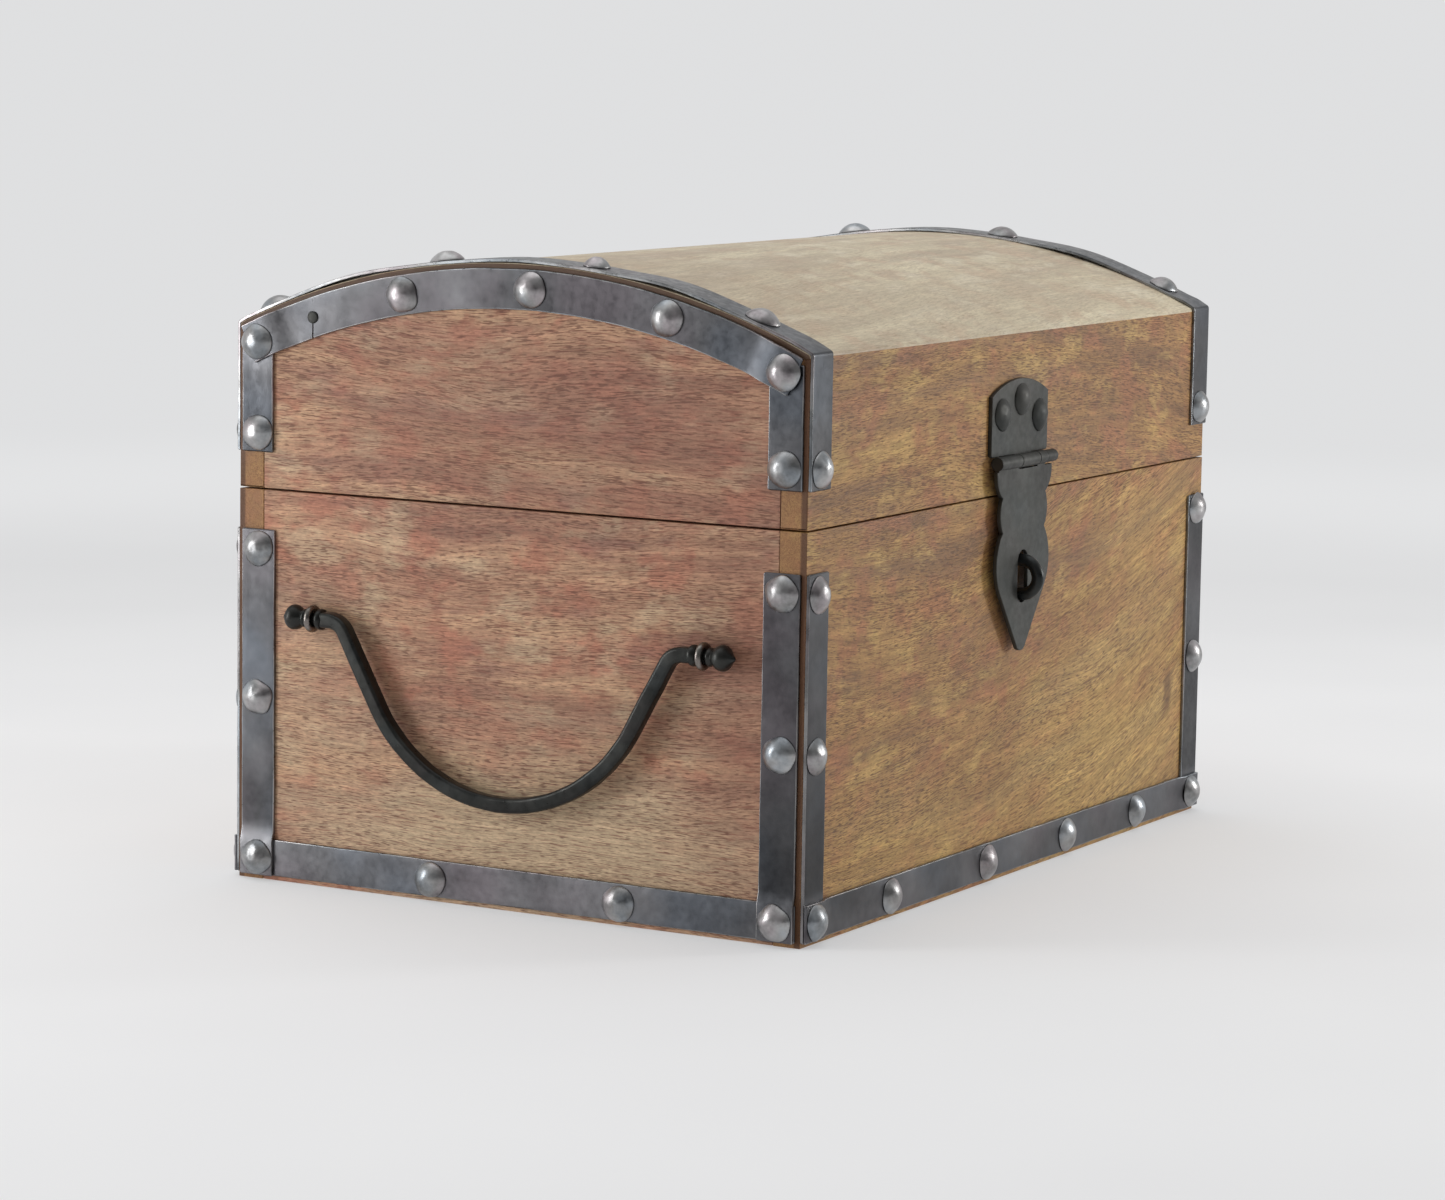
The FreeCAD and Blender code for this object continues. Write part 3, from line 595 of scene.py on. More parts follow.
def nail_seats(node):
    """Seat, outward direction and head radius of every nail in a CAD node."""
    bm = bmesh.new()
    bm.from_mesh(NODES[node].data)
    bmesh.ops.remove_doubles(bm, verts=bm.verts, dist=1e-7)
    seats = []
    for patches in flat_patches(bm):
        under = max(patches, key=lambda patch: sum(area for area, centre, normal in patch))
        total = sum(area for area, centre, normal in under)
        middle = sum((centre * area for area, centre, normal in under), Vector()) / total
        out = -under[0][2]
        seats.append((middle, out, math.sqrt(total / math.pi)))
    bm.free()
    seats.sort(key=lambda seat: tuple(round(c, 4) for c in seat[0]))
    return seats


def hammered_height(u, v, planes):
    """Height of a hammered dome over a unit disc, 1 at the crown and 0 at the rim."""
    reach = min(1.0, math.hypot(u, v))
    height = math.sqrt(max(0.0, 1.9 - reach * reach)) - math.sqrt(0.9)
    height /= math.sqrt(1.9) - math.sqrt(0.9)
    for nu, nv, level in planes:
        height = min(height, level - nu * u - nv * v)
    return max(0.0, height)


# The nail's shank and the underside of its head: share of the head's radius, depth in millimetres.
SHANK_LENGTH = 5.6
SHANK_RINGS = ((0.08, 4.9), (0.16, 1.0), (0.17, 0.04), (0.97, 0.02))
NAIL_LIP = 0.28 * MM
DOME_SHARES = (0.985, 0.94, 0.87, 0.78, 0.68, 0.57, 0.45, 0.33, 0.21, 0.1)


def add_nail(bm, seat, out, radius, dome, rng):
    """A hand-hammered domed nail head with its shank."""
    sides = 32
    first, second = across_and_round(out)
    turn = rng.uniform(0, math.tau)
    planes = []
    for i in range(6):
        angle = turn + math.tau * (i + rng.uniform(-0.3, 0.3)) / 6
        slope = rng.uniform(0.55, 1.0)
        level = rng.uniform(1.06, 1.16) + 0.12 * slope
        planes.append((slope * math.cos(angle), slope * math.sin(angle), level))
    planes.append((rng.uniform(-0.12, 0.12), rng.uniform(-0.12, 0.12), rng.uniform(0.93, 0.98)))
    wobble = [rng.uniform(-0.03, 0.02) for _ in range(4)]
    phase = [rng.uniform(0, math.tau) for _ in range(4)]

    def point(share, angle, height):
        rim = 1 + sum(w * math.cos((k + 2) * angle + p) for k, (w, p) in enumerate(zip(wobble, phase)))
        r = radius * share * (1 + (rim - 1) * share)
        return seat + first * r * math.cos(angle) + second * r * math.sin(angle) + out * height

    angles = [math.tau * i / sides for i in range(sides)]
    rings = [[seat - out * SHANK_LENGTH * MM]]
    for share, depth in SHANK_RINGS:
        rings.append([point(share, a, -depth * MM) for a in angles])
    lip = NAIL_LIP
    rings.append([point(1.0, a, 0.45 * lip) for a in angles])
    for share in DOME_SHARES:
        heights = [hammered_height(share * math.cos(a), share * math.sin(a), planes) for a in angles]
        rings.append([point(share, a, lip + (dome - lip) * height) for a, height in zip(angles, heights)])
    rings.append([seat + out * (lip + (dome - lip) * hammered_height(0, 0, planes))])
    skin(bm, rings)


def nail_piece(node, material, dome, seed):
    rng = random.Random(seed)
    bm = bmesh.new()
    for seat, out, radius in nail_seats(node):
        add_nail(bm, seat, out, radius, dome * rng.uniform(0.93, 1.0), rng)
    make_piece(node + "_forged", bm, [material], node, sharp=math.radians(60))


NAIL_GROUPS = ("box_left_nails", "box_right_nails", "box_front_nails", "box_back_nails",
               "lid_left_nails", "lid_right_nails", "left_hoop_nails", "right_hoop_nails")
NAIL_DOME = 3.2 * MM
HASP_NAIL_DOME = 2.4 * MM


def build_nails(finish):
    for seed, node in enumerate(NAIL_GROUPS):
        nail_piece(node, finish["nail_iron"], NAIL_DOME, seed + 11)
    nail_piece("hasp_nails", finish["hasp_iron"], HASP_NAIL_DOME, 31)
    seat, out, radius = nail_seats("flat_pin")[0]
    bm = bmesh.new()
    height = 0.5 * MM
    profile = [(-5 * MM, 0), (-4.6 * MM, 0.5 * MM), (-0.02 * MM, 0.85 * MM)]
    profile += [(0, radius), (0.3 * height, radius)]
    profile += [(0.75 * height, 0.92 * radius), (0.97 * height, 0.75 * radius), (height, 0)]
    add_turned(bm, profile, seat, out)
    make_piece("flat_pin_forged", bm, [finish["hasp_iron"]], "flat_pin")


# ---- Hinged ironwork ----

LEAF = 1.5 * MM
PIN_R = 1.25 * MM
PROUD = 0.03 * MM          # a knuckle's tongue stands this far out of its plate's faces

# The hasp, in millimetres from its hinge axis and its own centre line.
HASP_KNUCKLE_R = 2.2
HASP_UPPER_EDGE = 1.9
HASP_LOWER_EDGE = -2.45
UPPER_KNUCKLES = ((-4.0, 8.6),)
LOWER_KNUCKLES = ((-18.8, -4.2), (8.8, 14.2))
PIN_HEAD = 7.5
PIN_HEAD_R = 2.0
SHOULDER_DROP = 4.8        # from the top of the upper leaf to its shoulders

# Its lower leaf: half the outline, in millimetres above the chest's foot.
HASP_HALF_TOP = 19.5
HASP_SCALLOPS = (((18.7, 125.4), (15.4, 122.0)),
                 ((16.9, 117.0), (14.9, 111.0)),
                 ((18.9, 101.2), (16.0, 92.0)))
HASP_TIP_SIDE = (2.6, 73.5)
SLOT_HALF = 3.5
SLOT_ENDS = (91.4, 101.1)  # centres of the slot's round ends


def add_knuckle(bm, radius, span, axis, outward, near, far, reach):
    """A rolled knuckle with the tongue that joins it to its plate.

    near and far are the plate's two faces, as distances from the axis towards the wood, and
    reach is how far the tongue goes, upward if it is positive."""
    near, far = near - PROUD, far + PROUD
    start = math.acos(near / radius)
    end = math.tau + (math.acos(far / radius) if far < radius else 0)
    outline = [(near, abs(reach))] + arc((0, 0), radius, start, end, 26)
    if far >= radius:
        outline.append((far, 0))
    outline.append((far, abs(reach)))
    rise = 1 if reach > 0 else -1
    place = lambda u, v, w: Vector((span[0] + w, axis.y - outward * u, axis.z + rise * v))
    add_plate(bm, outline, place, span[1] - span[0], 0.25 * MM)


def add_hasp_knuckles(bm, spans, axis, near, far, edge):
    """Knuckles of one hasp leaf whose edge is a number of millimetres above the axis."""
    reach = (edge + math.copysign(1, edge)) * MM
    for x0, x1 in spans:
        span = (axis.x + x0 * MM, axis.x + x1 * MM)
        add_knuckle(bm, HASP_KNUCKLE_R * MM, span, axis, -1, near, far, reach)


def hasp_upper_leaf(axis, iron):
    low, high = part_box("hasp_upper_leaf")
    half = (high.x - low.x) / 2
    corner = MM
    edge_z = axis.z + HASP_UPPER_EDGE * MM
    shoulder = high.z - SHOULDER_DROP * MM
    outline = arc((half - corner, edge_z + corner), corner, -math.pi / 2, 0, 3)
    outline += [(half, shoulder)]
    outline += arc_through((half, shoulder), (0, high.z), (-half, shoulder), 28)
    outline += arc((-half + corner, edge_z + corner), corner, math.pi, 1.5 * math.pi, 3)
    bm = bmesh.new()
    place = lambda u, v, w: Vector((axis.x + u, -FACE_Y - w, v))
    add_plate(bm, outline, place, LEAF, LEAF_ROUND)
    wood = abs(axis.y) - FACE_Y
    add_hasp_knuckles(bm, UPPER_KNUCKLES, axis, wood - LEAF, wood, HASP_UPPER_EDGE)
    make_piece("hasp_upper_leaf_iron", bm, iron, "hasp_upper_leaf")


def hasp_outline(top, foot):
    """The lower leaf's scalloped outline, in millimetres."""
    side = [(HASP_HALF_TOP, top)]
    for through, end in HASP_SCALLOPS:
        side += arc_through(side[-1], through, end, 10)
    side.append(HASP_TIP_SIDE)
    tip = arc_through(side[-1], (0, foot), (-HASP_TIP_SIDE[0], HASP_TIP_SIDE[1]), 6)
    return side + tip[:-1] + [(-u, v) for u, v in reversed(side)]


def hasp_lower_leaf(axis, iron):
    low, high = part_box("hasp_lower_leaf")
    outline = hasp_outline(axis.z / MM + HASP_LOWER_EDGE, low.z / MM)
    slot = arc((0, SLOT_ENDS[1]), SLOT_HALF, 0, math.pi, 10)
    slot += arc((0, SLOT_ENDS[0]), SLOT_HALF, math.pi, math.tau, 10)
    bm = bmesh.new()
    place = lambda u, v, w: Vector((axis.x + u * MM, axis.y - LEAF / 2 + w * MM, v * MM))
    add_plate(bm, outline, place, LEAF / MM, LEAF_ROUND / MM, hole=slot)
    add_hasp_knuckles(bm, LOWER_KNUCKLES, axis, -LEAF / 2, LEAF / 2, HASP_LOWER_EDGE)
    make_piece("hasp_lower_leaf_iron", bm, iron, "hasp_lower_leaf")


def build_hasp(finish):
    iron = [finish["hasp_iron"]]
    axis = Vector(JOINT["hasp_hinge"]["pos_m"])
    hasp_upper_leaf(axis, iron)
    hasp_lower_leaf(axis, iron)
    low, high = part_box("hasp_pin")
    head_x = high.x - PIN_HEAD * MM
    bm = bmesh.new()
    shaft = rod_profile(head_x + 0.5 * MM - low.x, PIN_R)
    add_turned(bm, shaft, Vector((low.x, axis.y, axis.z)), LENGTHWISE)
    head = rod_profile(PIN_HEAD * MM, PIN_HEAD_R * MM, 0.6 * MM)
    add_turned(bm, head, Vector((head_x, axis.y, axis.z)), LENGTHWISE)
    make_piece("hasp_pin_iron", bm, iron, "hasp_pin")


STAPLE_ROUGHNESS = 0.06 * MM


def build_staple(finish):
    """Wire loop through the hasp's slot."""
    low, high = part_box("staple")
    wire_r = (high.x - low.x) / 2
    x = (low.x + high.x) / 2
    bend_r = (high.z - low.z) / 2 - wire_r
    z = (low.z + high.z) / 2
    bend_y = low.y + wire_r + bend_r + STAPLE_ROUGHNESS
    path = [(high.y, z - bend_r), (high.y - 3 * MM, z - bend_r)]
    path += [(y, v) for y, v in arc((bend_y, z), bend_r, 1.5 * math.pi, 0.5 * math.pi, 24)]
    path += [(high.y - 3 * MM, z + bend_r), (high.y, z + bend_r)]
    bm = bmesh.new()
    add_sweep(bm, [Vector((x, y, v)) for y, v in path], LENGTHWISE, wire_section(wire_r, 20))
    uneven(bm, STAPLE_ROUGHNESS, 350, 4)
    make_piece("staple_iron", bm, [finish["forged_iron"]], "staple")


HINGE_KNUCKLE_R = 2.5 * MM
HINGE_EDGE = 2.9 * MM
LID_KNUCKLE_HALF = 5 * MM
KNUCKLE_PLAY = 0.15 * MM


def hinge_leaf(node, spans, axis, middle, half, rise, iron):
    """Leaf on the back face; rise is 1 for the lid's and -1 for the box's."""
    low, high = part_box(node)
    edge_z = axis.z + rise * HINGE_EDGE
    bottom, top = sorted((edge_z, high.z if rise > 0 else low.z))
    outline = rectangle(middle - half, middle + half, bottom, top, 1.2 * MM)
    bm = bmesh.new()
    place = lambda u, v, w: Vector((u, FACE_Y + w, v))
    add_plate(bm, outline, place, LEAF, LEAF_ROUND)
    wood = axis.y - FACE_Y
    for x0, x1 in spans:
        span = (middle + x0, middle + x1)
        add_knuckle(bm, HINGE_KNUCKLE_R, span, axis, 1, wood - LEAF, wood, rise * (HINGE_EDGE + MM))
    make_piece(node + "_iron", bm, iron, node)


def build_hinges(finish):
    iron = [finish["hasp_iron"]]
    axis = Vector(JOINT["lid_hinge"]["pos_m"])
    box_start = LID_KNUCKLE_HALF + KNUCKLE_PLAY
    for name in ("left", "right"):
        low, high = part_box(name + "_hinge_box_leaf")
        middle = (low.x + high.x) / 2
        half = (high.x - low.x) / 2
        box_spans = ((-half, -box_start), (box_start, half))
        hinge_leaf(name + "_hinge_box_leaf", box_spans, axis, middle, half, -1, iron)
        lid_spans = ((-LID_KNUCKLE_HALF, LID_KNUCKLE_HALF),)
        hinge_leaf(name + "_hinge_lid_leaf", lid_spans, axis, middle, half, 1, iron)
        node = name + "_hinge_pin"
        low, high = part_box(node)
        bm = bmesh.new()
        head, head_r = 0.8 * MM, 1.95 * MM
        profile = [(0, 0), (0, 0.7 * head_r), (0.2 * MM, head_r), (head, head_r), (head, PIN_R)]
        profile += [(high.x - low.x - along, radius) for along, radius in reversed(profile)]
        add_turned(bm, profile, Vector((low.x, axis.y, axis.z)), LENGTHWISE)
        make_piece(node + "_iron", bm, iron, node)
    for node in ("hinge_lid_screws", "hinge_box_screws"):
        NODES[node].material_slots[0].material = finish["hasp_iron"]


# ---- Bail handles ----

def bail_path(pivot, bottom_z):
    """Centre line of the bar in the (y, z) plane, from the front finial to the back one."""
    radius, half, elbow, collar = 51.7 * MM, math.radians(61), 6 * MM, 65 * MM
    centre_z = bottom_z + radius
    limb_y, limb_z = radius * math.sin(half), centre_z - radius * math.cos(half)
    limb = (pivot.z - limb_z) / math.sin(half) - elbow * math.tan(half / 2)
    bend_y, bend_z = limb_y + limb * math.cos(half), limb_z + limb * math.sin(half)
    arm_y = bend_y + elbow * math.sin(half)
    right = arc((0, centre_z), radius, -math.pi / 2, half - math.pi / 2, 40)
    for i in range(1, 8):
        right.append((limb_y + (bend_y - limb_y) * i / 8, limb_z + (bend_z - limb_z) * i / 8))
    right += arc((arm_y, pivot.z - elbow), elbow, half + math.pi / 2, math.pi / 2, 10)
    right += [(arm_y + (collar + MM - arm_y) * i / 4, pivot.z) for i in range(1, 5)]
    return [(-y, z) for y, z in reversed(right[1:])] + right


# Collar, neck, bead, ball and point: millimetres from the middle of the handle, and radius.
FINIAL = ((64.7, 0), (64.7, 2.4), (65.2, 3.1), (65.9, 3.3), (66.6, 3.1), (67.2, 2.5), (67.7, 2.05),
          (70.3, 2.0), (70.6, 2.4), (71.0, 2.8), (71.5, 2.9), (72.0, 2.75), (72.4, 2.45), (72.7, 2.5),
          (73.2, 3.0), (74.0, 3.55), (74.9, 3.9), (75.8, 3.98), (76.6, 3.75), (77.3, 3.25), (77.9, 2.55),
          (78.4, 1.8), (78.9, 1.15), (79.4, 0.7), (79.7, 0.35), (79.8, 0))
BAR_HALF = 2.4 * MM        # from the bar's centre line to its lowest face
BAR_SIDE = 4.7 * MM
BAR_ROUND = 1.2 * MM
BAIL_ROUGHNESS = 0.13 * MM
EYE_Y = 69 * MM            # of the necks that turn in the eyes


def build_bails(finish):
    for name, side in (("left", -1), ("right", 1)):
        pivot = Vector(JOINT[name + "_handle_swing"]["pos_m"])
        node = name + "_bail"
        low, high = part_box(node)
        path = [Vector((pivot.x, y, z)) for y, z in bail_path(pivot, low.z + BAR_HALF)]
        half = BAR_SIDE / 2
        finial = [(along * MM, radius * MM) for along, radius in FINIAL]
        bm = bmesh.new()
        add_sweep(bm, path, LENGTHWISE, rectangle(-half, half, -half, half, BAR_ROUND))
        for direction in (-1, 1):
            add_turned(bm, finial, pivot, BACKWARD * direction, 24)
        uneven(bm, BAIL_ROUGHNESS, 160, side)
        make_piece(node + "_iron", bm, [finish["forged_iron"]], node)
        build_eyes(name, side, pivot, finish)


def build_eyes(name, side, pivot, finish):
    """Wire eyes round the bail's necks, their legs clenched inside the chest."""
    ring_r, wire_r, shank_r, leg_r, clench = 3.17 * MM, 1.1 * MM, 1.2 * MM, 0.9 * MM, 8 * MM
    out = Vector((side, 0, 0))
    bm = bmesh.new()
    for y in (-EYE_Y, EYE_Y):
        centre = Vector((pivot.x, y, pivot.z))
        ring = [centre + Vector((u, 0, v)) for u, v in wire_section(ring_r, 36)]
        add_sweep(bm, ring, BACKWARD, wire_section(wire_r), joined=True)
        root = Vector((side * (INNER_X - leg_r), y, pivot.z))
        length = abs(pivot.x) - ring_r - INNER_X + leg_r
        add_turned(bm, rod_profile(length, shank_r), root, out, 16)
        foot = root - UP * clench
        add_turned(bm, rod_profile(2 * clench, leg_r, 0.5 * MM), foot, UP, 16)
    node = name + "_handle_eyes"
    make_piece(node + "_wire", bm, [finish["eye_wire"]], node)


# ---- Materials ----

def tone(red, green, blue):
    """A display colour as linear values."""
    values = [c / 255 for c in (red, green, blue)]
    return [c / 12.92 if c <= 0.04045 else ((c + 0.055) / 1.055) ** 2.4 for c in values] + [1.0]


class Finish:
    """Builds one procedural material."""

    def __init__(self, name):
        self.material = bpy.data.materials.new(name)
        self.material.use_nodes = True
        self.tree = self.material.node_tree
        self.shader = self.tree.nodes["Principled BSDF"]

    def add(self, kind, inputs=(), **settings):
        node = self.tree.nodes.new(kind)
        for key, value in settings.items():
            setattr(node, key, value)
        for key, value in dict(inputs).items():
            self.put(node.inputs[key], value)
        return node

    def put(self, socket, value):
        if isinstance(value, bpy.types.NodeSocket):
            self.tree.links.new(value, socket)
        else:
            socket.default_value = value

    def math(self, operation, first, second=0.0):
        return self.add("ShaderNodeMath", {0: first, 1: second}, operation=operation).outputs[0]

    def times(self, first, second):
        return self.math("MULTIPLY", first, second)

    def noise(self, vector, scale=(1, 1, 1), detail=2.0, roughness=0.5, shift=0.0):
        inputs = {0: vector, 1: scale, 2: (shift, 0.7 * shift, 1.3 * shift)}
        place = self.add("ShaderNodeVectorMath", inputs, operation="MULTIPLY_ADD").outputs[0]
        inputs = {"Vector": place, "Scale": 1.0, "Detail": detail, "Roughness": roughness}
        return self.add("ShaderNodeTexNoise", inputs).outputs[0]

    def stretch(self, value, low, high, to_low=0.0, to_high=1.0):
        """Map low..high onto to_low..to_high, smoothly and clamped."""
        inputs = {"Value": value, "From Min": low, "From Max": high, "To Min": to_low, "To Max": to_high}
        return self.add("ShaderNodeMapRange", inputs, interpolation_type="SMOOTHSTEP").outputs[0]

    def ramp(self, value, stops):
        node = self.add("ShaderNodeValToRGB", {0: value})
        elements = node.color_ramp.elements
        while len(elements) < len(stops):
            elements.new(0.5)
        for element, (position, colour) in zip(elements, stops):
            element.position = position
            element.color = colour
        return node.outputs[0]

    def mix(self, factor, first, second, blend="MIX"):
        node = self.add("ShaderNodeMix", data_type="RGBA", blend_type=blend)
        self.put(node.inputs[0], factor)
        self.put(node.inputs[6], first)
        self.put(node.inputs[7], second)
        return node.outputs[2]

    def grey(self, value):
        return self.add("ShaderNodeCombineColor", {0: value, 1: value, 2: value}).outputs[0]

    def bump(self, height, distance, strength):
        inputs = {"Height": height, "Distance": distance, "Strength": strength}
        self.put(self.shader.inputs["Normal"], self.add("ShaderNodeBump", inputs).outputs[0])

    def coordinates(self, kind="Object"):
        return self.add("ShaderNodeTexCoord").outputs[kind]

    def split(self, vector):
        return self.add("ShaderNodeSeparateXYZ", {0: vector}).outputs


# Which axes run along the fibre, across it on the face, and into the face.
GRAIN_AXES = {"x": (0, 2, 1), "y": (1, 2, 0), "roof": (0, 1, 2)}
RAGGED = 1.6
WAVE_SCALE, WAVE_HEIGHT = (6, 16, 16), 0.022
FIGURE_SCALE = (8, 70, 70)
SPOT_SCALE = (300, 2900, 2900)
RIM_FROM, RIM_TO = 97.4 * MM, 98.4 * MM     # the bare, stained rim of the end grain outside the straps
PORE_DEPTH = 0.12 * MM

# Tints of the wood: tone, scale along and across the fibre, where it starts and is full, strength.
MOTTLES = (("red", (60, 75, 75), 0.46, 0.64, 0.75),
           ("pale", (45, 85, 85), 0.5, 0.68, 0.7),
           ("purple", (40, 95, 95), 0.54, 0.72, 0.55))

# Layers of the grain: scale along and across the fibre, detail, roughness, seed, part of the noise used.
LAYERS = {"lines": ((9, 300, 300), 4.0, 0.7, 5, 0.3, 0.7),
          "fibre": ((110, 1300, 1300), 3.0, 0.65, 8, 0.28, 0.72),
          "grit": ((700, 1500, 1500), 2.0, 0.6, 9, 0.3, 0.7),
          "hairs": ((140, 1700, 1700), 1.0, 0.5, 11, 0.56, 0.7),
          "crowd": ((20, 90, 90), 2.0, 0.5, 12, 0.35, 0.65)}


def soft_patch(f, along, rise, figure, centre, reach, strength):
    """A soft spot on the face of a board, ragged by the figure of the grain."""
    u = f.math("DIVIDE", f.math("SUBTRACT", along, centre[0]), reach[0])
    v = f.math("DIVIDE", f.math("SUBTRACT", rise, centre[1]), reach[1])
    away = f.math("SQRT", f.math("ADD", f.times(u, u), f.times(v, v)))
    away = f.math("ADD", away, f.times(f.math("SUBTRACT", figure, 0.5), RAGGED))
    return f.stretch(away, 1.1, 0.2, 0.0, strength)


def grain_place(f, parts, sweep, shift):
    """Coordinates that follow the fibre, bent by the sweep of the grain and a little wavy."""
    along, rise, depth = parts
    from_start = f.math("ADD", along, END_X)
    bend = f.times(f.times(from_start, from_start), sweep[1] / 2)
    bend = f.math("ADD", bend, f.times(from_start, sweep[0]))
    place = f.add("ShaderNodeCombineXYZ", {0: along, 1: f.math("SUBTRACT", rise, bend), 2: depth}).outputs[0]
    warp = f.noise(place, WAVE_SCALE, 2.0, shift=shift)
    lift = f.times(f.math("SUBTRACT", warp, 0.5), WAVE_HEIGHT)
    lift = f.add("ShaderNodeCombineXYZ", {1: lift}).outputs[0]
    return f.add("ShaderNodeVectorMath", {0: place, 1: lift}, operation="ADD").outputs[0]


def wood(name, grain, tones, sweep=(0.0, 0.0), shift=0.0, streaks=0.12, fine=1.0, patches=()):
    """Open-pored wood.

    sweep bends the grain: its slope where the board starts, and how much that grows per metre.
    streaks and fine are the contrast of the long streaks and of the fibres and pores.
    patches are (tone, centre, reach, strength) on the board's face."""
    f = Finish(name)
    tones = {key: tone(*colour) for key, colour in tones.items()}
    position = f.split(f.coordinates())
    along, rise, depth = [position[axis] for axis in GRAIN_AXES[grain]]
    place = grain_place(f, (along, rise, depth), sweep, shift)

    def layer(kind, to_low, to_high):
        scale, detail, roughness, seed, low, high = LAYERS[kind]
        return f.stretch(f.noise(place, scale, detail, roughness, shift + seed), low, high, to_low, to_high)

    figure = f.noise(place, FIGURE_SCALE, 4.0, 0.62, shift + 3)
    colour = f.ramp(figure, [(0.32, tones["dark"]), (0.48, tones["middle"]), (0.64, tones["light"])])
    for key, scale, low, high, strength in MOTTLES:
        spread = f.noise(place, scale, 3.0, 0.62, shift + len(key) * 7)
        colour = f.mix(f.stretch(spread, low, high, 0, strength), colour, tones[key])
    for key, centre, reach, strength in patches:
        colour = f.mix(soft_patch(f, along, rise, figure, centre, reach, strength), colour, tones[key])

    fibre = layer("fibre", 1 - 0.2 * fine, 1 + 0.2 * fine)
    shade = f.times(layer("lines", 1 - streaks, 1 + streaks), fibre)
    shade = f.times(shade, layer("grit", 1 - 0.1 * fine, 1 + 0.1 * fine))
    colour = f.mix(1.0, colour, f.grey(shade), "MULTIPLY")
    colour = f.mix(layer("hairs", 0, 0.6 * fine), colour, tones["hair"])
    spots = f.noise(place, SPOT_SCALE, 1.0, 0.4, shift + 13)
    pores = f.stretch(f.math("SUBTRACT", spots, layer("crowd", 0.03, -0.05)), 0.56, 0.68, 0, 0.7 * fine)
    colour = f.mix(pores, colour, tones["pore"])

    along_normal = f.split(f.coordinates("Normal"))[1 if grain == "y" else 0]
    end_grain = f.stretch(f.math("ABSOLUTE", along_normal), 0.75, 0.95)
    colour = f.mix(f.times(end_grain, 0.6), colour, tones["end"])
    rim = f.stretch(f.math("ABSOLUTE", depth), RIM_FROM, RIM_TO, 0, 0.85)
    colour = f.mix(f.times(end_grain, rim), colour, tones["rim"])

    f.put(f.shader.inputs["Base Color"], colour)
    f.put(f.shader.inputs["Roughness"], f.stretch(figure, 0.3, 0.7, 0.5, 0.62))
    f.shader.inputs["Specular IOR Level"].default_value = 0.35
    f.bump(f.math("SUBTRACT", f.times(fibre, 0.6), pores), PORE_DEPTH, 0.6)
    return f.material


def strap_painted_light_and_shade(f):
    """How the straps' tone varies over the chest, by painted light and shade.

    They are paler along the foot, which is painted light, and darker on the long faces, by the
    box's front corners and by the lid's back corners, which is painted shade."""
    _, y, z = f.split(f.coordinates())
    normal = f.split(f.coordinates("Normal"))
    on_face = f.stretch(f.math("ABSOLUTE", normal[1]), 0.6, 0.9, 1, 0.7)
    above_foot = f.stretch(z, 12 * MM, 18 * MM)
    by_corner = f.times(f.stretch(y, -85 * MM, -60 * MM, 1, 0), f.stretch(z, 30 * MM, 90 * MM, 1, 0))
    shade = f.stretch(f.times(by_corner, above_foot), 0, 1, 1, 0.6)
    gain = f.times(f.times(on_face, shade), f.stretch(above_foot, 0, 1, 1.55, 1))
    on_lid = f.times(f.stretch(z, 118 * MM, 126 * MM), f.stretch(z, 156 * MM, 164 * MM, 1, 0))
    by_back = f.times(on_lid, f.stretch(y, 80 * MM, 86 * MM, 0, 0.4))
    return f.grey(f.times(gain, f.math("SUBTRACT", 1.0, by_back)))


BLUISH, NEUTRAL, PINKISH = [0.86, 0.93, 1.0, 1], [1, 1, 1, 1], [1.0, 0.92, 0.95, 1]
IRON_GRAIN = (420,) * 3
FINE_SHARE = 0.15          # of the fine grain in the iron's tone


def iron(name, dark, light, roughness, metallic, cloud, relief=0.05, painted_light_and_shade=None):
    """Worked iron: cloudy tone, a fine grain and a slightly beaten surface.

    dark and light are (red, green share, blue share); cloud is the number of clouds in a metre."""
    f = Finish(name)
    place = f.coordinates()
    clouds = f.noise(place, (cloud,) * 3, 4.0, 0.65)
    fine = f.noise(place, IRON_GRAIN, 3.0, 0.6)
    blend = f.math("ADD", f.times(clouds, 1 - FINE_SHARE), f.times(fine, FINE_SHARE))
    dark, light = linear(*dark), linear(*light)
    middle = [(a + b) / 2 for a, b in zip(dark, light)]
    colour = f.ramp(blend, [(0.34, dark), (0.5, middle), (0.66, light)])
    hue = f.noise(place, (cloud * 0.7,) * 3, 2.0, 0.5, 6)
    tint = f.ramp(hue, [(0.35, BLUISH), (0.5, NEUTRAL), (0.65, PINKISH)])
    colour = f.mix(1.0, colour, tint, "MULTIPLY")
    # Painted light and shade, multiplied into the tone where the iron has it.
    if painted_light_and_shade:
        colour = f.mix(1.0, colour, painted_light_and_shade(f), "MULTIPLY")
    f.put(f.shader.inputs["Base Color"], colour)
    f.put(f.shader.inputs["Roughness"], f.stretch(fine, 0.3, 0.7, roughness - 0.07, roughness + 0.09))
    f.shader.inputs["Metallic"].default_value = metallic
    beaten = f.noise(place, (150,) * 3, 2.0, 0.4)
    f.bump(f.math("ADD", beaten, f.times(fine, 0.25)), relief * MM, 0.8)
    return f.material


def linear(red, green=1.0, blue=1.0):
    """A linear colour from its red and the shares of it that are its green and blue."""
    return [red, red * green, red * blue, 1.0]


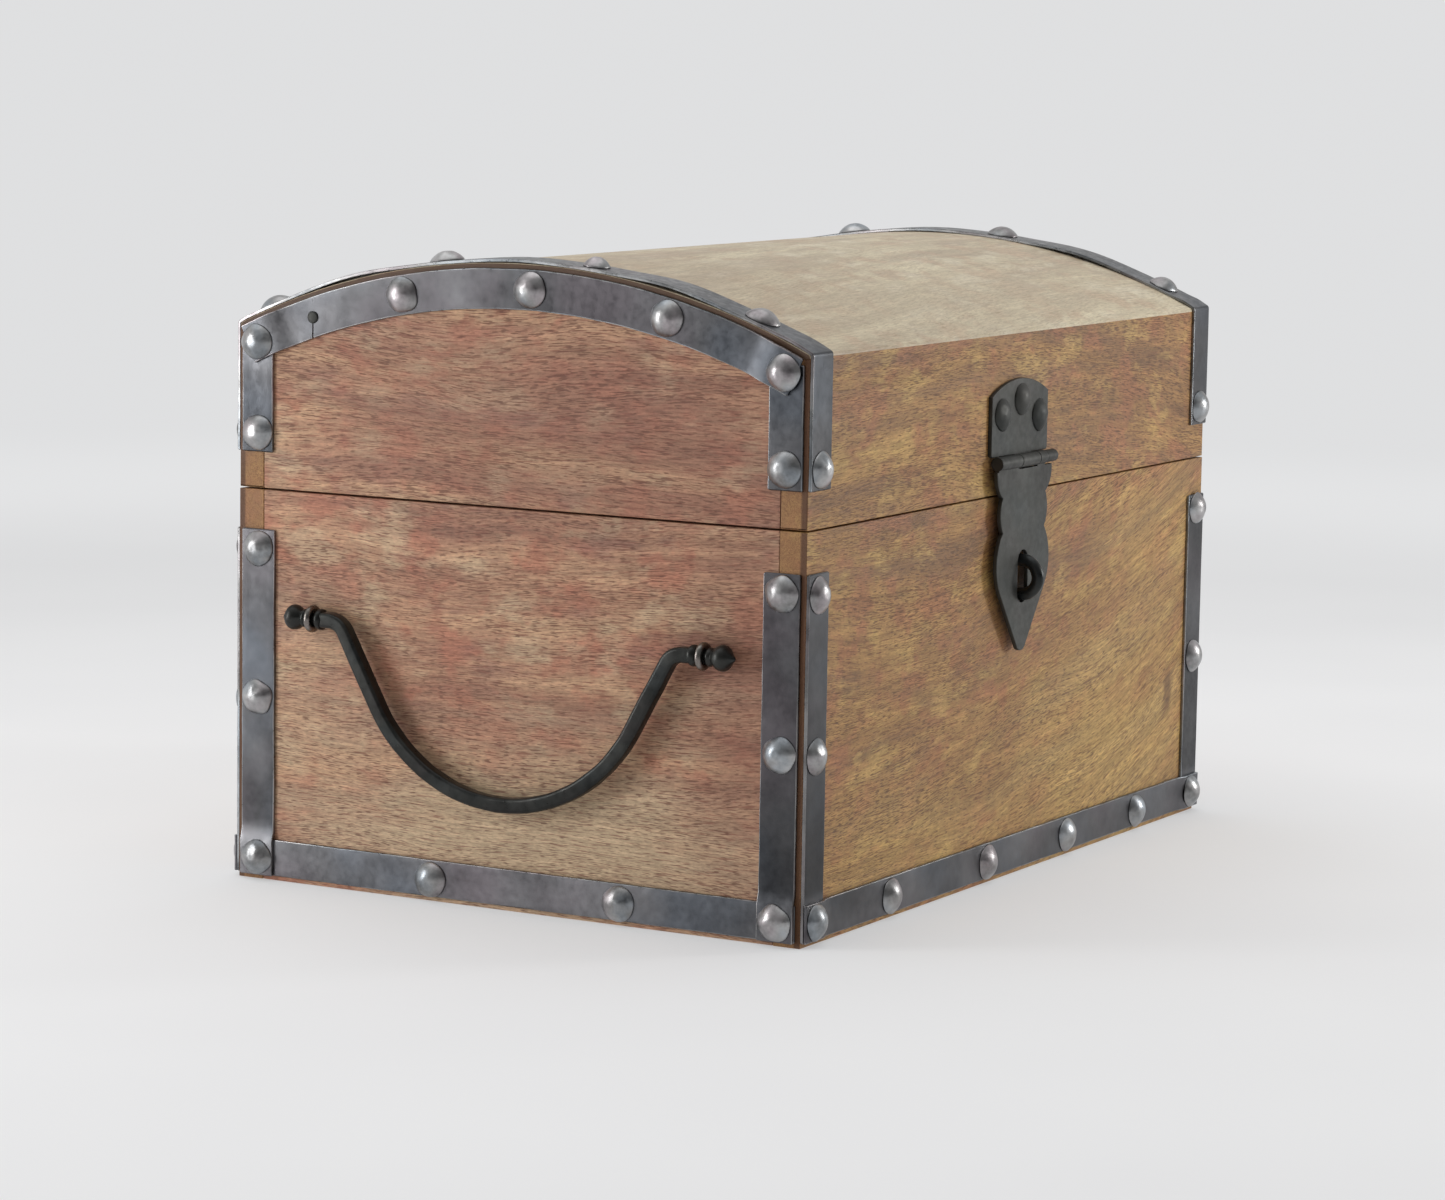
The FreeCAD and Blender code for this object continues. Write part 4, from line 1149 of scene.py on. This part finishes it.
# Display colours of the wood.
END_TONES = {
    "light": (192, 154, 122), "middle": (170, 128, 102), "dark": (142, 100, 82),
    "red": (170, 110, 88), "pale": (190, 165, 134), "purple": (138, 100, 88),
    "hair": (124, 72, 58), "pore": (100, 62, 48), "end": (140, 104, 82), "rim": (96, 64, 46)}
FRONT_TONES = {
    "light": (180, 141, 88), "middle": (158, 118, 72), "dark": (132, 95, 60),
    "red": (162, 108, 74), "pale": (190, 156, 94), "purple": (122, 90, 64),
    "hair": (116, 74, 46), "pore": (92, 60, 38), "end": (150, 108, 74), "rim": (84, 54, 36)}
# The roof's face tones are paler than the other boards' by a painted sheen; its end and rim tones are the wood's
# own.
ROOF_TONES_AND_SHEEN = {
    "light": (218, 206, 178), "middle": (201, 187, 160), "dark": (182, 164, 139),
    "red": (196, 172, 146), "pale": (222, 212, 188), "purple": (182, 166, 146),
    "hair": (160, 136, 112), "pore": (146, 124, 102), "end": (84, 54, 36), "rim": (78, 50, 32)}

# Patches on the boards: tone, centre and reach in metres on the face, strength.
# On the end boards the pale patch along the foot is partly the wood's own and partly painted light, the pale one
# towards the back is painted light, and the dark one by the front corner is painted shade.
END_PATCHES = (("pale", (-0.01, 0.025), (0.11, 0.035), 1.0),
               ("pale", (0.07, 0.06), (0.03, 0.05), 0.35),
               ("dark", (-0.08, 0.07), (0.03, 0.06), 0.7))
GABLE_PATCHES = (("dark", (0.0, 0.15), (0.12, 0.05), 0.5),)
# On the front board the two pale patches towards the right end are painted light.
FRONT_PATCHES = (("pale", (0.07, 0.03), (0.1, 0.05), 0.85),
                 ("pale", (0.1, 0.09), (0.05, 0.05), 0.4),
                 ("pale", (-0.08, 0.02), (0.07, 0.03), 0.5),
                 ("pore", (0.118, 0.045), (0.004, 0.012), 0.7))
ROOF_PATCHES = (("dark", (-0.11, -0.04), (0.12, 0.07), 0.6),
                ("middle", (0.0, -0.08), (0.12, 0.03), 0.5))

# Grain, tones, sweep, seed, contrast of the streaks and of the fibres, patches.
WOODS = {
    "end_wood": ("y", END_TONES, (0.0, 0.0), 0, 0.12, 1.0, END_PATCHES),
    "gable_wood": ("y", END_TONES, (0.0, 0.0), 31, 0.12, 1.0, GABLE_PATCHES),
    "front_wood": ("x", FRONT_TONES, (-0.04, 1.4), 17, 0.13, 1.0, FRONT_PATCHES),
    "back_wood": ("x", FRONT_TONES, (0.03, -0.5), 53, 0.13, 1.0),
    # The roof's paler tones are a painted sheen.
    "roof_wood": ("roof", ROOF_TONES_AND_SHEEN, (0.05, 0.0), 5, 0.06, 0.45, ROOF_PATCHES)}

# Darkest and lightest colour, roughness, how metallic, clouds in a metre, relief in millimetres, painted light and
# shade.
IRONS = {
    "strap_iron": ((0.06, 1.0, 1.06), (0.15, 1.0, 1.05), 0.36, 1.0, 32, 0.05, strap_painted_light_and_shade),
    # The paler iron of the strap edges is partly bare cut metal and partly a painted highlight.
    "cut_edge": ((0.1,), (0.36,), 0.32, 1.0, 38),
    "nail_iron": ((0.19,), (0.48,), 0.36, 1.0, 120, 0.16),
    "hasp_iron": ((0.02, 1.04, 0.9), (0.05, 1.03, 0.92), 0.5, 0.5, 60, 0.06),
    "forged_iron": ((0.012, 1.05, 0.95), (0.04, 1.03, 0.96), 0.34, 0.7, 90, 0.14),
    "eye_wire": ((0.1, 0.95, 0.85), (0.28, 0.96, 0.88), 0.3, 1.0, 200, 0.04)}


def make_finishes():
    woods = {name: wood(name, *values) for name, values in WOODS.items()}
    irons = {name: iron(name, *values) for name, values in IRONS.items()}
    return {**woods, **irons}


# ---- Stage, light and camera ----

BACKDROP = (0.985, 0.99, 1.0, 1)
BACKDROP_LEVEL = 0.75
NEAR_GLOW = 0.38            # the paper's own glow beside the chest
FADE_FROM, FADE_TO = 0.35, 1.5      # distances over which the paper turns into the backdrop
FLOOR_RADII = (0.5, 1.5, 4, 12, 40)


def build_floor():
    """A disc of pale paper that fades into the backdrop."""
    bm = bmesh.new()
    sides = 96
    rings = [[Vector((0, 0, 0))]]
    for radius in FLOOR_RADII:
        rings.append([Vector((u, v, 0)) for u, v in wire_section(radius, sides)])
    made = [[bm.verts.new(point) for point in ring] for ring in rings]
    for low, high in zip(made, made[1:]):
        for i in range(sides):
            around = [low[i % len(low)], high[i], high[(i + 1) % sides], low[(i + 1) % len(low)]]
            bm.faces.new(list(dict.fromkeys(around)))
    mesh = bpy.data.meshes.new("floor")
    bm.to_mesh(mesh)
    bm.free()
    f = Finish("floor_paper")
    place = f.coordinates()
    soft = f.noise(place, (5, 5, 5), 2.0)
    paper = f.ramp(soft, [(0.3, [0.47, 0.47, 0.475, 1]), (0.7, [0.5, 0.5, 0.503, 1])])
    distance = f.add("ShaderNodeVectorMath", {0: place}, operation="LENGTH").outputs["Value"]
    away = f.stretch(distance, FADE_FROM, FADE_TO)
    f.put(f.shader.inputs["Base Color"], f.mix(away, paper, [0, 0, 0, 1]))
    f.shader.inputs["Emission Color"].default_value = BACKDROP
    f.put(f.shader.inputs["Emission Strength"], f.stretch(away, 0, 1, NEAR_GLOW, BACKDROP_LEVEL))
    f.shader.inputs["Roughness"].default_value = 0.9
    f.shader.inputs["Specular IOR Level"].default_value = 0.0
    mesh.materials.append(f.material)
    floor = bpy.data.objects.new("floor", mesh)
    bpy.context.scene.collection.objects.link(floor)


def area_light(name, location, width, height, power, colour):
    data = bpy.data.lights.new(name, "AREA")
    data.shape = "RECTANGLE"
    data.size = width
    data.size_y = height
    data.energy = power
    data.color = colour
    light = bpy.data.objects.new(name, data)
    light.location = location
    light.rotation_euler = (LIT_POINT - Vector(location)).to_track_quat("-Z", "Y").to_euler()
    light.visible_camera = False
    bpy.context.scene.collection.objects.link(light)


# Name, place, width and height in metres, power in watts, colour.
LIGHTS = (("window_left", (-0.62, 0.57, 0.22), 0.22, 0.45, 2.6, (1.0, 0.995, 0.99)),
          ("window_right", (0.63, -0.78, 0.28), 0.18, 0.3, 3.3, (1.0, 0.99, 0.97)),
          ("overhead", (0.0, 0.2, 1.6), 1.6, 1.6, 6.5, (1, 1, 1)))
LIT_POINT = Vector((0, 0, 0.09))
ROOM_SIDE = Vector((0.5, 0.6, 0.6))        # the direction from which the room is brightest
ROOM_SPREAD = (("From Min", -0.6), ("From Max", 0.8), ("To Min", 0.1), ("To Max", 0.95))


def build_light():
    """Two windows and a soft overhead light in a dim room."""
    for light in LIGHTS:
        area_light(*light)

    world = bpy.data.worlds.new("studio")
    bpy.context.scene.world = world
    world.use_nodes = True
    tree = world.node_tree
    tree.nodes.clear()
    add, link = tree.nodes.new, tree.links.new
    coordinates = add("ShaderNodeTexCoord")
    towards = add("ShaderNodeVectorMath")
    towards.operation = "DOT_PRODUCT"
    link(coordinates.outputs["Generated"], towards.inputs[0])
    towards.inputs[1].default_value = ROOM_SIDE.normalized()
    spread = add("ShaderNodeMapRange")
    link(towards.outputs["Value"], spread.inputs["Value"])
    for key, value in ROOM_SPREAD:
        spread.inputs[key].default_value = value
    room = add("ShaderNodeBackground")
    link(spread.outputs[0], room.inputs["Strength"])
    seen = add("ShaderNodeBackground")
    seen.inputs["Color"].default_value = BACKDROP
    seen.inputs["Strength"].default_value = BACKDROP_LEVEL
    rays = add("ShaderNodeLightPath")
    choose = add("ShaderNodeMixShader")
    link(rays.outputs["Is Camera Ray"], choose.inputs[0])
    link(room.outputs[0], choose.inputs[1])
    link(seen.outputs[0], choose.inputs[2])
    out = add("ShaderNodeOutputWorld")
    link(choose.outputs[0], out.inputs["Surface"])


# The camera that was fitted to the photo.
LENS_MM = 111.63
CAMERA_PLACE = (-1.27098, -0.70899, 0.27007)
CAMERA_AXES = (Vector((0.49300, -0.86988, 0.01606)),       # right
               Vector((0.10493, 0.07777, 0.99143)),        # up
               Vector((-0.86368, -0.48709, 0.12962)))      # back


def build_camera():
    data = bpy.data.cameras.new("camera")
    data.sensor_fit = "HORIZONTAL"
    data.sensor_width = 36
    data.lens = LENS_MM
    data.clip_start, data.clip_end = 0.05, 100
    camera = bpy.data.objects.new("camera", data)
    turn = Matrix(CAMERA_AXES).transposed()
    camera.matrix_world = Matrix.Translation(CAMERA_PLACE) @ turn.to_4x4()
    bpy.context.scene.collection.objects.link(camera)
    bpy.context.scene.camera = camera


finishes = make_finishes()
for build in (build_wood, build_end_straps, build_face_straps, build_arch_straps, build_hoops, build_nails,
              build_hasp, build_staple, build_hinges, build_bails):
    build(finishes)
build_floor()
build_light()
build_camera()
bpy.context.scene.view_settings.view_transform = "Standard"

bpy.context.view_layer.update()
